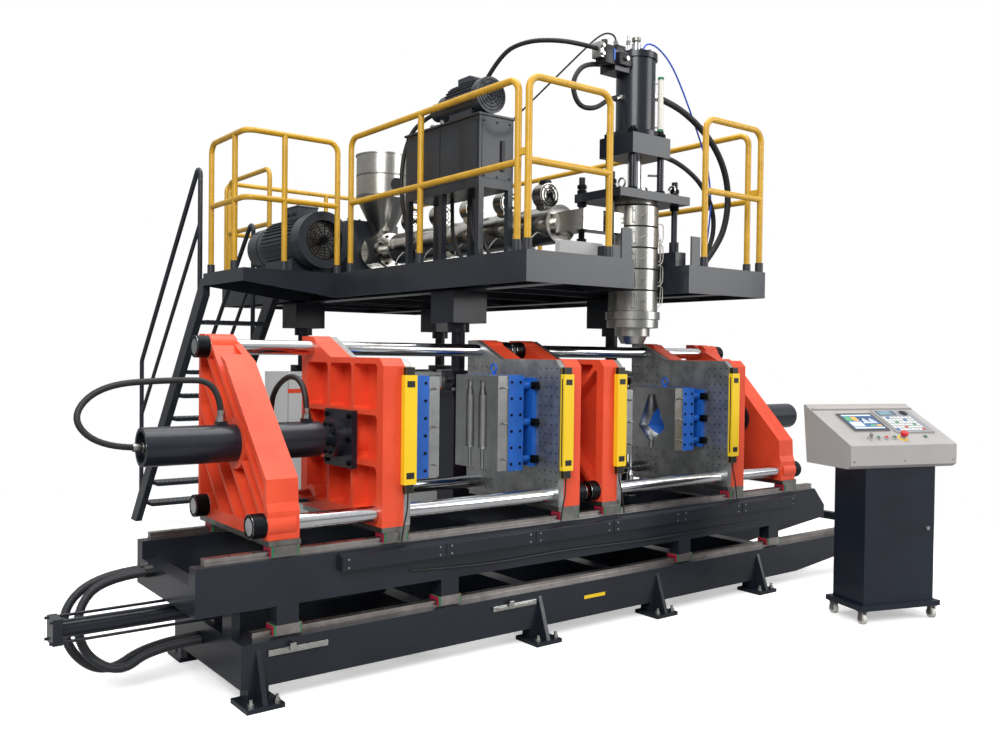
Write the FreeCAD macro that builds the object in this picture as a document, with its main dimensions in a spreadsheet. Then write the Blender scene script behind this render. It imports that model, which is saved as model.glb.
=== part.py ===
"""Two-station shuttle blow moulding machine with accumulator head, in millimetres.

+X runs along the machine, +Y from the operator's side to the back, +Z up. Sizes are counted from
the floor under the middle of the shuttle carriage, half way between its rails; each finished
sub-part is then set over, so that the part's origin is the middle of its footprint.
"""
import FreeCAD, Part
import math
import os
import re

import Sketcher

VECTOR = FreeCAD.Vector
AXIS_TURN = {
    "x": FreeCAD.Rotation(VECTOR(0, 1, 0), 90),
    "y": FreeCAD.Rotation(VECTOR(1, 0, 0), -90),
    "z": FreeCAD.Rotation(),
}

SIZES = {
    "centre_x": 284, "centre_y": 1582,
    # lower base
    "base_left": 2145, "base_right": 3420, "base_half": 440, "beam_wide": 130, "base_under": 80,
    "base_top": 283, "taper_start": 1980, "taper_end_under": 222, "foot_long": 180, "foot_out": 90,
    "rail_half": 375, "rail_wide": 45, "rail_high": 35, "rail_left": 2075, "stop_high": 117,
    # carriage
    "car_half_long": 2345, "car_half": 415, "car_beam": 80, "car_under": 428, "car_top": 647,
    "guide_long": 120, "guide_wide": 90, "guide_gap": 0.3, "nut_gap": 0.08, "guide_cap": 22,
    "shift_stroke": 1480, "shift_z": 365, "shift_left": 2840, "shift_bore": 63, "shift_wall": 9,
    "shift_rod": 36, "shift_cap": 40,
    # clamp stations, as distances from the middle plane
    "front_near": 90, "front_far": 210, "face_thick": 40, "move_near": 1245, "move_far": 1410,
    "end_near": 1845, "end_far": 2005, "platen_front": 410, "platen_rear": 500, "sole_under": 700,
    "sole_thick": 30, "platen_top": 1575, "ear_top": 1690, "tie_front": 345, "tie_back": 378, "tie_low": 795,
    "tie_high": 1622, "tie_dia": 80, "tie_gap": 0.05, "nut_dia": 115, "nut_long": 70,
    "axis_z": 1150, "clamp_dia": 185, "clamp_bore": 150, "clamp_far": 2455, "clamp_near": 1557,
    "clamp_rod": 80, "casting_wall": 30, "pocket_floor": 40, "curtain_low": 940, "curtain_high": 1490,
    # platform
    "deck_left": 395, "deck_right": 1795, "deck_front": 270, "deck_back": 4358, "deck_top": 2205,
    "fascia_high": 185, "sheet": 8, "wing_left": 1130, "wing_front": 2050, "wing_back": 2850,
    "wing_tip_high": 95, "notch_left": 474, "notch_right": 988, "notch_deep": 460, "rest_high": 95,
    "leg_front": 750, "leg_back": 3100, "leg_left": 150, "leg_right": 1280, "leg_side": 190,
    "leg_high": 1360, "head_side": 270, "head_high": 215, "jack_dia": 90, "lift_travel": 120,
    "left_mould_low": 930, "left_mould_high": 1480, "right_mould_low": 970, "right_mould_high": 1390,
    "mould_half": 215, "face_front": 540, "face_move": 940, "block_thick": 70, "plate_thick": 110,
    "rail_tube": 42, "rail_bend": 80, "top_rail": 1020, "mid_rail": 515, "post_inset": 28,
    # extruder and head
    "extruder_x": 300, "melt_z": 2460, "barrel_dia": 150, "screw_dia": 90, "head_x": 740,
    "head_dia": 325, "head_under": 1890, "head_over": 2590, "die_drop": 210, "plate_gap": 20,
    "plate_high": 55, "yoke_rise": 319, "yoke_high": 131, "ram_dia": 260, "ram_bore": 180,
    "ram_long": 550, "ram_travel": 160,
}

DOC = FreeCAD.newDocument("blow_moulding_machine")
SHEET = DOC.addObject("Spreadsheet::Sheet", "Sizes")
for row, (alias, value) in enumerate(SIZES.items(), start=1):
    SHEET.set(f"A{row}", alias)
    SHEET.set(f"B{row}", str(value))
    SHEET.setAlias(f"B{row}", alias)
DOC.recompute()

NAME_PATTERN = re.compile(r"\b(" + "|".join(sorted(SIZES, key=len, reverse=True)) + r")\b")
NODES = {}


def bound(expression):
    """Turn a formula in sheet names into an expression of the document."""
    return NAME_PATTERN.sub(r"Sizes.\1", str(expression))


def number(expression):
    """Work out a formula in sheet names, for shapes that are made by code."""
    names = {alias: float(SHEET.get(alias)) for alias in SIZES}
    names["sqrt"] = math.sqrt
    total = 0.0
    tokens = re.compile(r"[A-Za-z_]+|[0-9.]+|[-+*/()]").findall(str(expression))
    return formula(tokens, names, total)


def formula(tokens, names, total):
    """Add, subtract, multiply and divide a short list of tokens, with brackets."""
    place = [0]

    def factor():
        token = tokens[place[0]]
        place[0] += 1
        if token == "-":
            return -factor()
        if token == "(":
            value = added()
            place[0] += 1
            return value
        if token in names:
            return names[token]
        return float(token)

    def product():
        value = factor()
        while place[0] < len(tokens) and tokens[place[0]] in "*/":
            sign = tokens[place[0]]
            place[0] += 1
            value = value * factor() if sign == "*" else value / factor()
        return value

    def added():
        value = product()
        while place[0] < len(tokens) and tokens[place[0]] in "+-":
            sign = tokens[place[0]]
            place[0] += 1
            value = value + product() if sign == "+" else value - product()
        return value

    return total + added()


def place(obj, at, axis="z"):
    """Bind an object's position to the sheet and turn its own axis."""
    obj.Placement = FreeCAD.Placement(VECTOR(0, 0, 0), AXIS_TURN[axis])
    for letter, expression in zip("xyz", at):
        obj.setExpression(f"Placement.Base.{letter}", bound(expression))
    return obj


def box(name, x, y, z):
    """Make a box from three (low, high) pairs of formulas."""
    obj = DOC.addObject("Part::Box", name)
    for side, (low, high) in zip(("Length", "Width", "Height"), (x, y, z)):
        obj.setExpression(side, bound(f"({high}) - ({low})"))
    return place(obj, (x[0], y[0], z[0]))


def rod(name, diameter, length, at, axis="z"):
    """Make a round bar from its start point along one axis."""
    obj = DOC.addObject("Part::Cylinder", name)
    obj.setExpression("Radius", bound(f"({diameter}) / 2"))
    obj.setExpression("Height", bound(length))
    return place(obj, at, axis)


def cone(name, low, high, length, at, axis="z"):
    """Make a tapered round bar from its two diameters."""
    obj = DOC.addObject("Part::Cone", name)
    obj.setExpression("Radius1", bound(f"({low}) / 2"))
    obj.setExpression("Radius2", bound(f"({high}) / 2"))
    obj.setExpression("Height", bound(length))
    return place(obj, at, axis)


def fuse(name, pieces):
    """Join pieces into one solid."""
    if len(pieces) == 1:
        return pieces[0]
    obj = DOC.addObject("Part::MultiFuse", name)
    obj.Shapes = pieces
    obj.Refine = True
    return obj


def cut(name, base, tools):
    """Take tools away from a piece."""
    obj = DOC.addObject("Part::Cut", name)
    obj.Base = base
    obj.Tool = fuse(f"{name}_tool", tools)
    obj.Refine = True
    return obj


def group(name, pieces):
    """Hold separate solids together in one node."""
    obj = DOC.addObject("Part::Compound", name)
    obj.Links = pieces
    return obj


def members(name, pieces):
    """Set pieces of a welded frame side by side, each cut back to those before it."""
    kept = []
    for piece in pieces:
        DOC.recompute()
        near = [other for other in kept
                if other.Shape.BoundBox.intersect(piece.Shape.BoundBox)
                and other.Shape.common(piece.Shape).Volume > 1]
        kept.append(cut(f"{piece.Name}_end", piece, near) if near else piece)
    return group(name, kept)


def node(name, obj):
    """Give a finished sub-part its label, centre it in the part's frame and list it."""
    if obj.TypeId in ("Part::Box", "Part::Cylinder"):
        obj = group(f"{name}_set", [obj])
    centring = FreeCAD.Placement(VECTOR(-number("centre_x"), -number("centre_y"), 0),
                                 FreeCAD.Rotation())
    obj.Placement = centring.multiply(obj.Placement)
    obj.Label = name
    NODES[name] = obj
    return obj


PLANES = {"xy": "XY_Plane", "xz": "XZ_Plane", "yz": "YZ_Plane"}


def outline(body, name, plane, offset, loops=(), circles=()):
    """Draw closed loops and circles on a plane of a body, each point bound to the sheet."""
    sketch = body.newObject("Sketcher::SketchObject", name)
    role = PLANES[plane]
    origin = [item for item in body.Origin.OriginFeatures if item.Role == role][0]
    sketch.AttachmentSupport = [(origin, "")]
    sketch.MapMode = "FlatFace"
    sketch.setExpression("AttachmentOffset.Base.z", bound(offset))
    for points in loops:
        first = sketch.GeometryCount
        places = [(number(u), number(v)) for u, v in points]
        count = len(points)
        for index in range(count):
            start = VECTOR(*places[index], 0)
            stop = VECTOR(*places[(index + 1) % count], 0)
            sketch.addGeometry(Part.LineSegment(start, stop), False)
        for index in range(count):
            following = first + (index + 1) % count
            sketch.addConstraint(Sketcher.Constraint("Coincident", first + index, 2, following, 1))
        for index, (u, v) in enumerate(points):
            for kind, formula_text, value in (("DistanceX", u, places[index][0]),
                                              ("DistanceY", v, places[index][1])):
                key = sketch.addConstraint(
                    Sketcher.Constraint(kind, -1, 1, first + index, 1, value))
                sketch.setExpression(f"Constraints[{key}]", bound(formula_text))
    for u, v, diameter in circles:
        centre = VECTOR(number(u), number(v), 0)
        key = sketch.addGeometry(
            Part.Circle(centre, VECTOR(0, 0, 1), number(diameter) / 2), False)
        for kind, formula_text, value in (("DistanceX", u, centre.x), ("DistanceY", v, centre.y)):
            number_of = sketch.addConstraint(Sketcher.Constraint(kind, -1, 1, key, 3, value))
            sketch.setExpression(f"Constraints[{number_of}]", bound(formula_text))
        number_of = sketch.addConstraint(Sketcher.Constraint("Diameter", key, number(diameter)))
        sketch.setExpression(f"Constraints[{number_of}]", bound(diameter))
    sketch.Visibility = False
    return sketch


def pad(body, sketch, length, name):
    """Raise a sketch along its normal."""
    feature = body.newObject("PartDesign::Pad", name)
    feature.Profile = sketch
    feature.setExpression("Length", bound(length))
    return feature


def pocket(body, sketch, length, name, forward):
    """Sink a sketch into the body, along its normal where forward is true."""
    DOC.recompute()
    before = body.Shape.Volume
    feature = body.newObject("PartDesign::Pocket", name)
    feature.Profile = sketch
    feature.setExpression("Length", bound(length))
    feature.Reversed = forward
    DOC.recompute()
    if body.Shape.Volume >= before - 1:
        raise RuntimeError(f"{name} cuts nothing")
    return feature


def body_of(name):
    """Start a body for a piece made from sketches."""
    return DOC.addObject("PartDesign::Body", name)


def prism(name, plane, low, length, loops, circles=()):
    """Make a body by raising one sketch, holes included."""
    body = body_of(name)
    pad(body, outline(body, f"{name}_sketch", plane, low, loops, circles), length, f"{name}_pad")
    return body


def clip(points, normal, limit):
    """Keep the part of a polygon whose distance along a normal is at least a limit."""
    kept = []
    for index, point in enumerate(points):
        after = points[(index + 1) % len(points)]
        here = point[0] * normal[0] + point[1] * normal[1] - limit
        there = after[0] * normal[0] + after[1] * normal[1] - limit
        if here >= 0:
            kept.append(point)
        if here * there < 0:
            part = here / (here - there)
            kept.append((point[0] + part * (after[0] - point[0]),
                         point[1] + part * (after[1] - point[1])))
    return kept


def span(side, near, far):
    """Give low and high X formulas of a stretch on the left (-1) or right (+1) half."""
    return (near, far) if side > 0 else (f"-({far})", f"-({near})")


def frame_box(name, low, high, half, wide, z):
    """Make the four beams of a rectangular frame between two X formulas."""
    beams = [
        box(f"{name}_front", (low, high), (f"-({half})", f"{wide} - ({half})"), z),
        box(f"{name}_back", (low, high), (f"({half}) - {wide}", half), z),
    ]
    return beams


# ---------------------------------------------------------------- lower base
BASE_FEET = (-2063, -407, 544, 1540)
base_pieces = []
for side, low, high in (("front", "-base_half", "beam_wide - base_half"),
                        ("back", "base_half - beam_wide", "base_half")):
    profile = [("-base_left", "base_under"), ("taper_start", "base_under"),
               ("base_right", "taper_end_under"), ("base_right", "base_top"),
               ("-base_left", "base_top")]
    base_pieces.append(prism(f"base_beam_{side}", "xz", f"-({high})", "beam_wide", [profile]))
for index, middle in enumerate((-2095, -1100, -400, 300, 1000, 1700)):
    base_pieces.append(box(f"base_cross_{index}", (f"{middle} - 50", f"{middle} + 50"),
                           ("-base_half + 1", "base_half - 1"), ("base_under", "base_top")))
base_pieces.append(box("base_end", ("base_right - 60", "base_right"),
                       ("-base_half + 1", "base_half - 1"), ("taper_end_under", "base_top")))
for index, middle in enumerate(BASE_FEET):
    for sign in (-1, 1):
        outer = f"{sign} * base_half"
        low, high = (f"{outer} - foot_out", f"{outer} + 100") if sign < 0 else (
            f"{outer} - 100", f"{outer} + foot_out")
        base_pieces.append(box(f"foot_sole_{index}_{sign}",
                               (f"{middle} - foot_long / 2", f"{middle} + foot_long / 2"),
                               (low, high), ("0", "22")))
        web_low, web_high = (f"{outer}", f"{outer} + 90") if sign < 0 else (f"{outer} - 90", outer)
        base_pieces.append(box(f"foot_web_{index}_{sign}", (f"{middle} - 50", f"{middle} + 50"),
                               (web_low, web_high), ("20", "base_under + 5")))
        gusset = [(f"{outer} + {sign} * (foot_out - 8)", "21"), (outer, "21"),
                  (outer, "base_top - 30")]
        gusset_body = prism(f"foot_gusset_{index}_{sign}", "yz", f"{middle} - 12", "24", [gusset])
        base_pieces.append(gusset_body)
base_pieces.append(box("base_stop", ("-base_left", "40 - base_left"), ("-325", "-215"),
                       ("base_top - 1", "base_top + stop_high")))
node("base_frame", fuse("base_frame_solid", base_pieces))


def rail(name, low, high, middle, bottom):
    """Make a profiled linear rail with a groove along each flank."""
    bar = box(f"{name}_bar", (low, high), (f"{middle} - rail_wide / 2", f"{middle} + rail_wide / 2"),
              (bottom, f"{bottom} + rail_high"))
    grooves = []
    for sign in (-1, 1):
        edge = f"{middle} + {sign} * rail_wide / 2"
        grooves.append(box(f"{name}_groove_{sign}", (f"{low} - 1", f"{high} + 1"),
                           (f"{edge} - 6", f"{edge} + 6"),
                           (f"{bottom} + 14", f"{bottom} + 24")))
    return cut(name, bar, grooves)


def guide(name, middle_x, middle_y, bottom):
    """Make a guide block that straddles a rail with a small clearance on every side."""
    body = box(f"{name}_body", (f"{middle_x} - guide_long / 2", f"{middle_x} + guide_long / 2"),
               (f"{middle_y} - guide_wide / 2", f"{middle_y} + guide_wide / 2"),
               (f"{bottom} + 9", f"{bottom} + rail_high + guide_cap"))
    slot = box(f"{name}_slot", (f"{middle_x} - guide_long", f"{middle_x} + guide_long"),
               (f"{middle_y} - rail_wide / 2 - guide_gap", f"{middle_y} + rail_wide / 2 + guide_gap"),
               (f"{bottom} - 5", f"{bottom} + rail_high + guide_gap"))
    return cut(name, body, [slot])


node("base_rails", group("base_rails_pair", [
    rail("base_rail_front", "-rail_left", "base_right - 10", "-rail_half", "base_top"),
    rail("base_rail_back", "-rail_left", "base_right - 10", "rail_half", "base_top")]))

# ---------------------------------------------------------------- shuttle cylinder
SHIFT_LONG = "(shift_stroke + 180)"
SHIFT_RIGHT = "(shift_left - shift_stroke - 180)"
shift_tube = rod("shift_tube", "shift_bore + 2 * shift_wall", SHIFT_LONG,
                 ("-shift_left", "0", "shift_z"), "x")
shift_solid = [shift_tube]
for label, start in (("far", "-shift_left"), ("near", f"-{SHIFT_RIGHT} - shift_cap"),
                     ("mount", "-base_left + 20")):
    shift_solid.append(box(f"shift_cap_{label}", (start, f"{start} + shift_cap"),
                           ("-58", "58"), ("base_top" if label == "mount" else "shift_z - 58",
                                           "shift_z + 58")))
for sign_y in (-1, 1):
    for sign_z in (-1, 1):
        shift_solid.append(rod(f"shift_tie_{sign_y}_{sign_z}", "14",
                               f"{SHIFT_LONG} + 24",
                               ("-shift_left - 12", f"{sign_y} * 47", f"shift_z + {sign_z} * 47"),
                               "x"))
shift_hollow = [
    rod("shift_inside", "shift_bore", f"{SHIFT_LONG} - 2 * shift_cap",
        ("-shift_left + shift_cap", "0", "shift_z"), "x"),
    rod("shift_gland", "shift_rod + 0.1", "shift_cap * 3",
        (f"-{SHIFT_RIGHT} - shift_cap * 2", "0", "shift_z"), "x")]
node("shift_cylinder", cut("shift_cylinder_solid", fuse("shift_outside", shift_solid), shift_hollow))
node("shift_rod", fuse("shift_rod_solid", [
    rod("shift_bar", "shift_rod", "shift_left - 1000 - shift_cap - 20",
        ("-shift_left + shift_cap + 20", "0", "shift_z"), "x"),
    rod("shift_piston", "shift_bore - 0.1", "30",
        ("-shift_left + shift_cap + 5", "0", "shift_z"), "x"),
    box("shift_clevis", ("-1010", "-950"), ("-40", "40"), ("shift_z - 35", "car_under"))]))

# ---------------------------------------------------------------- shuttle carriage
GUIDE_PLACES = (-1910, -1000, 820, 1745)
carriage_pieces = frame_box("car_beam_pair", "-car_half_long", "car_half_long - 120", "car_half",
                            "car_beam", ("car_under", "car_top"))
for index, middle in enumerate(("40 - car_half_long", "-1500", "-980", "-400", "400", "1060", "1700")):
    carriage_pieces.append(box(f"car_cross_{index}", (f"{middle} - 40", f"{middle} + 40"),
                               ("-car_half + 1", "car_half - 1"), ("car_under", "car_top - 87")))
for sign in (-1, 1):
    low = "-car_half" if sign < 0 else "car_half - car_beam"
    nose = [("car_half_long - 121", "car_under"), ("car_half_long", "car_under"),
            ("car_half_long", "car_under + 90"), ("car_half_long - 121", "car_top")]
    carriage_pieces.append(prism(f"car_nose_{sign}", "xz", f"-({low}) - car_beam", "car_beam",
                                 [nose]))
carriage_pieces.append(box("car_nose_cross", ("car_half_long - 80", "car_half_long - 1"),
                           ("-car_half + 1", "car_half - 1"), ("car_under", "car_under + 90")))
carriage_pieces.append(box("pin_plate", ("400", "1060"), ("-110", "110"),
                           ("car_top - 107", "car_top - 87")))
for index, middle in enumerate(GUIDE_PLACES):
    for sign in (-1, 1):
        centre = f"{sign} * rail_half"
        carriage_pieces.append(box(
            f"riser_{index}_{sign}", (f"{middle} - guide_long / 2 + 5", f"{middle} + guide_long / 2 - 5"),
            (f"{centre} - guide_wide / 2 + 5", f"{centre} + guide_wide / 2 - 5"),
            ("base_top + rail_high + guide_cap", "car_under + 1")))
tray_front = [("-car_half", "car_top - 95"), ("-car_half - 32", "car_top - 95"),
              ("-car_half - 32", "car_top - 25"), ("-car_half", "car_top - 12")]
carriage_pieces.append(prism("tray", "yz", "-1650", "3600", [tray_front]))
carriage_pieces += [rod("pin_foot", "150", "21", ("head_x", "0", "car_top - 88")),
                    rod("pin_barrel", "90", "111", ("head_x", "0", "car_top - 88"))]
PIN_DIA = "44"
node("carriage_frame", cut("carriage_frame_solid", fuse("carriage_frame_union", carriage_pieces), [
    rod("pin_hole", f"{PIN_DIA} + 0.1", "120", ("head_x", "0", "car_top - 72"))]))
carriage_steel = [
    rail("car_rail_front", "-car_half_long + 45", "car_half_long - 135", "-rail_half", "car_top"),
    rail("car_rail_back", "-car_half_long + 45", "car_half_long - 135", "rail_half", "car_top")]
for index, middle in enumerate(GUIDE_PLACES):
    for sign in (-1, 1):
        carriage_steel.append(guide(f"car_guide_{index}_{sign}", str(middle),
                                    f"{sign} * rail_half", "base_top"))
node("carriage_rails", group("carriage_rails_set", carriage_steel))

# ---------------------------------------------------------------- blow pin
node("blow_pin", fuse("blow_pin_solid", [
    rod("pin_stem", PIN_DIA, "230", ("head_x", "0", "car_top - 70")),
    cone("pin_neck", PIN_DIA, "26", "30", ("head_x", "0", "car_top + 160")),
    rod("pin_tip", "26", "128", ("head_x", "0", "car_top + 190"))]))


# ---------------------------------------------------------------- clamp stations
PLATEN_OUTLINE = [("-platen_front", "sole_under + sole_thick"), ("platen_rear", "sole_under + sole_thick"),
                  ("platen_rear", "ear_top"), ("platen_rear - 100", "ear_top"),
                  ("150", "platen_top"), ("-platen_front + 40", "platen_top"),
                  ("-platen_front", "platen_top - 40")]
END_OUTLINE = [("-platen_front + 15", "sole_under + sole_thick"), ("platen_rear", "sole_under + sole_thick"),
               ("platen_rear", "ear_top"), ("platen_rear - 70", "ear_top"), ("134", "1550"),
               ("-platen_front + 36", "1010"), ("-platen_front + 30", "900"),
               ("-platen_front + 15", "860")]
TIES = (("front", "-tie_front", "tie_low"), ("back", "tie_back", "tie_low"),
        ("top", "tie_back", "tie_high"))
BOSS = "nut_dia + 10"


def pockets_of(name, body, cells, face, depth, forward):
    """Sink every pocket of a casting from one face."""
    loops = [cell for cell in cells if len(cell) > 2]
    sketch = outline(body, f"{name}_cells", "yz", face, loops)
    pocket(body, sketch, depth, f"{name}_pockets", forward)


def rounded(cell, cut_back):
    """Bevel the corners of a pocket so that its cast corners are eased."""
    eased = []
    for index, point in enumerate(cell):
        before = cell[index - 1]
        after = cell[(index + 1) % len(cell)]
        for other in (before, after):
            length = math.dist(point, other)
            part = min(cut_back / length, 0.4)
            eased.append((point[0] + part * (other[0] - point[0]),
                          point[1] + part * (other[1] - point[1])))
    return eased


def casting(name, side, near, far, points, cells, bosses, bore):
    """Make a ribbed casting: a plate, pockets from its outer face, bosses put back, then bores."""
    low, high = span(side, near, far)
    outer = high if side > 0 else low
    body = prism(name, "yz", low, f"({high}) - ({low})", [points])
    depth = f"({far}) - ({near}) - pocket_floor"
    pockets_of(name, body, cells, outer, depth, side < 0)
    start = f"{low} + pocket_floor / 2" if side > 0 else low
    rings = outline(body, f"{name}_rings", "yz", start, circles=bosses)
    pad(body, rings, f"({far}) - ({near}) - pocket_floor / 2", f"{name}_bosses")
    holes = [(y, z, "tie_dia + 2 * tie_gap") for _, y, z in TIES]
    if bore:
        holes.append(("0", "axis_z", bore))
    pocket(body, outline(body, f"{name}_bores", "yz", outer, circles=holes),
           f"({far}) - ({near}) + 1", f"{name}_holes", side < 0)
    return body


def diagonal_cells():
    """Work out the pockets of an end plate between ribs parallel to its sloping edge."""
    slope = (number("134") + number("platen_front - 36"), 540.0)
    length = math.hypot(*slope)
    normal = (slope[1] / length, -slope[0] / length)
    zero = number("36 - platen_front") * normal[0] + 1010 * normal[1]
    wall = number("casting_wall")
    frame = [(number("-platen_front + 30") + wall, number("sole_under + sole_thick") + 2 * wall),
             (number("platen_rear") - wall, number("sole_under + sole_thick") + 2 * wall),
             (number("platen_rear") - wall, number("ear_top") - wall),
             (number("-platen_front + 30") + wall, number("ear_top") - wall)]
    edges = (wall, 88, 166, 290, 420, 560, 900)
    rib = 20
    cells = []
    for low, high in zip(edges, edges[1:]):
        start = low if low == wall else low + rib / 2
        cell = clip(frame, normal, zero + start)
        cell = clip(cell, (-normal[0], -normal[1]), -(zero + high - rib / 2))
        if len(cell) > 2:
            cells.append(rounded(cell, 12))
    return cells


def waffle_cells():
    """Work out the three by three pockets on the back of a moving platen."""
    wall = number("casting_wall")
    left, right = number("-platen_front") + 2 * wall, number("platen_rear") - 2.5 * wall
    low, high = number("sole_under + sole_thick") + 2 * wall, number("platen_top") - wall
    rib = 24
    wide = (right - left - 2 * rib) / 3
    tall = (high - low - 2 * rib) / 3
    cells = []
    for column in range(3):
        for line in range(3):
            y = left + column * (wide + rib)
            z = low + line * (tall + rib)
            cells.append(rounded([(y, z), (y + wide, z), (y + wide, z + tall), (y, z + tall)], 18))
    return cells


def truss_cells():
    """Work out the pockets of a front platen between ribs that cross at its middle."""
    wall = number("casting_wall")
    left, right = number("-platen_front") + 2 * wall, number("platen_rear") - 2.5 * wall
    low, high = number("sole_under + sole_thick") + 2 * wall, number("platen_top") - wall
    middle = ((left + right) / 2, (low + high) / 2)
    corners = [(left, low), (right, low), (right, high), (left, high)]
    frame = list(corners)
    cells = []
    for index in range(4):
        cell = frame
        for corner, turn in ((corners[index], 1), (corners[(index + 1) % 4], -1)):
            ray = (corner[0] - middle[0], corner[1] - middle[1])
            length = math.hypot(*ray)
            normal = (-turn * ray[1] / length, turn * ray[0] / length)
            offset = middle[0] * normal[0] + middle[1] * normal[1]
            cell = clip(cell, normal, offset + 14)
        cells.append(rounded(cell, 20))
    return cells


TIE_BOSSES = [(y, z, BOSS) for _, y, z in TIES]


def sole(name, side, near, far):
    """Make a sole plate and the two guide blocks it stands on."""
    low, high = span(side, near, far)
    plate = box(f"{name}_plate", (low, high), ("-platen_front", "platen_rear - 30"),
                ("car_top + rail_high + guide_cap", "sole_under + sole_thick"))
    pieces = [plate]
    for sign in (-1, 1):
        middle = f"({low} + ({high})) / 2"
        pieces.append(guide(f"{name}_guide_{sign}", middle, f"{sign} * rail_half", "car_top"))
    return pieces


def light_curtain(name, side, near, far):
    """Make a safety light curtain bar with its end caps on the front edge of a platen."""
    low, high = span(side, near, far)
    pieces = [box(f"{name}_bar", (low, high), ("-platen_front - 36", "-platen_front - 4"),
                  ("curtain_low", "curtain_high"))]
    for label, bottom, top in (("foot", "curtain_low - 45", "curtain_low + 1"),
                               ("cap", "curtain_high - 1", "curtain_high + 40")):
        pieces.append(box(f"{name}_{label}", (f"{low} + 12", f"{high} - 12"),
                          ("-platen_front - 30", "-platen_front"), (bottom, top)))
    return fuse(f"{name}_solid", pieces)


def mould_half(name, side, base_at, face_at, tools):
    """Make a mould half: back bar, spacers, side plates and the aluminium cavity block."""
    inward = 1 if number(face_at) > number(base_at) else -1
    low = "left_mould_low" if side < 0 else "right_mould_low"
    high = "left_mould_high" if side < 0 else "right_mould_high"

    def layer(near, far):
        """Place one layer by its depth behind the parting face."""
        first, last = f"{face_at} - {far}", f"{face_at} - ({near})"
        if inward < 0:
            first, last = f"{face_at} + ({near})", f"{face_at} + {far}"
        return span(side, first, last)

    if inward > 0:
        bar = span(side, base_at, f"{base_at} + 30")
        gap = span(side, f"{base_at} + 29", f"{face_at} - block_thick - plate_thick + 1")
    else:
        bar = span(side, f"{base_at} - 30", base_at)
        gap = span(side, f"{face_at} + block_thick + plate_thick - 1", f"{base_at} - 29")
    pieces = [box(f"{name}_bar", bar, ("-200", "200"), (f"{low} + 15", f"{high} - 15"))]
    for row in range(3):
        for sign in (-1, 1):
            pieces.append(rod(f"{name}_spacer_{row}_{sign}", "44", f"({gap[1]}) - ({gap[0]})",
                              (gap[0], f"{sign} * 165",
                               f"{low} + 60 + {row} * ({high} - {low} - 120) / 2"), "x"))
    pieces.append(box(f"{name}_plate", layer("block_thick", "(block_thick + plate_thick)"),
                      ("-mould_half", "mould_half"), (low, high)))
    pieces.append(box(f"{name}_block", layer("0", "(block_thick + 1)"),
                      ("6 - mould_half", "mould_half - 6"), (f"{low} + 4", f"{high} - 4")))
    face = face_at if side > 0 else f"-({face_at})"
    return cut(f"{name}_solid", fuse(f"{name}_stack", pieces), tools(name, face, low, high))


def drop_cavity(name, face, low, high):
    """Make the hollow of a drop-shaped container with its neck over the blow pin."""
    return [
        cone(f"{name}_drop", "240", "60", f"{high} - {low} - 200", (face, "0", f"{low} + 150")),
        cone(f"{name}_shoulder", "70", "240", "90", (face, "0", f"{low} + 61")),
        rod(f"{name}_neck", "46", "75", (face, "0", f"{low} - 10"))]


def bottle_cavities(name, face, low, high):
    """Make the hollows of two long bottles that stand side by side."""
    tools = []
    for sign in (-1, 1):
        middle = f"{sign} * 62"
        tools.append(rod(f"{name}_bottle_{sign}", "84", f"{high} - {low} - 240",
                         (face, middle, f"{low} + 120")))
        tools.append(cone(f"{name}_shoulder_{sign}", "84", "40", "60",
                          (face, middle, f"{high} - 121")))
        tools.append(rod(f"{name}_knob_{sign}", "56", "30", (face, middle, f"{high} - 62")))
        tools.append(rod(f"{name}_neck_{sign}", "36", "135", (face, middle, f"{low} - 10")))
    return tools


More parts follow.
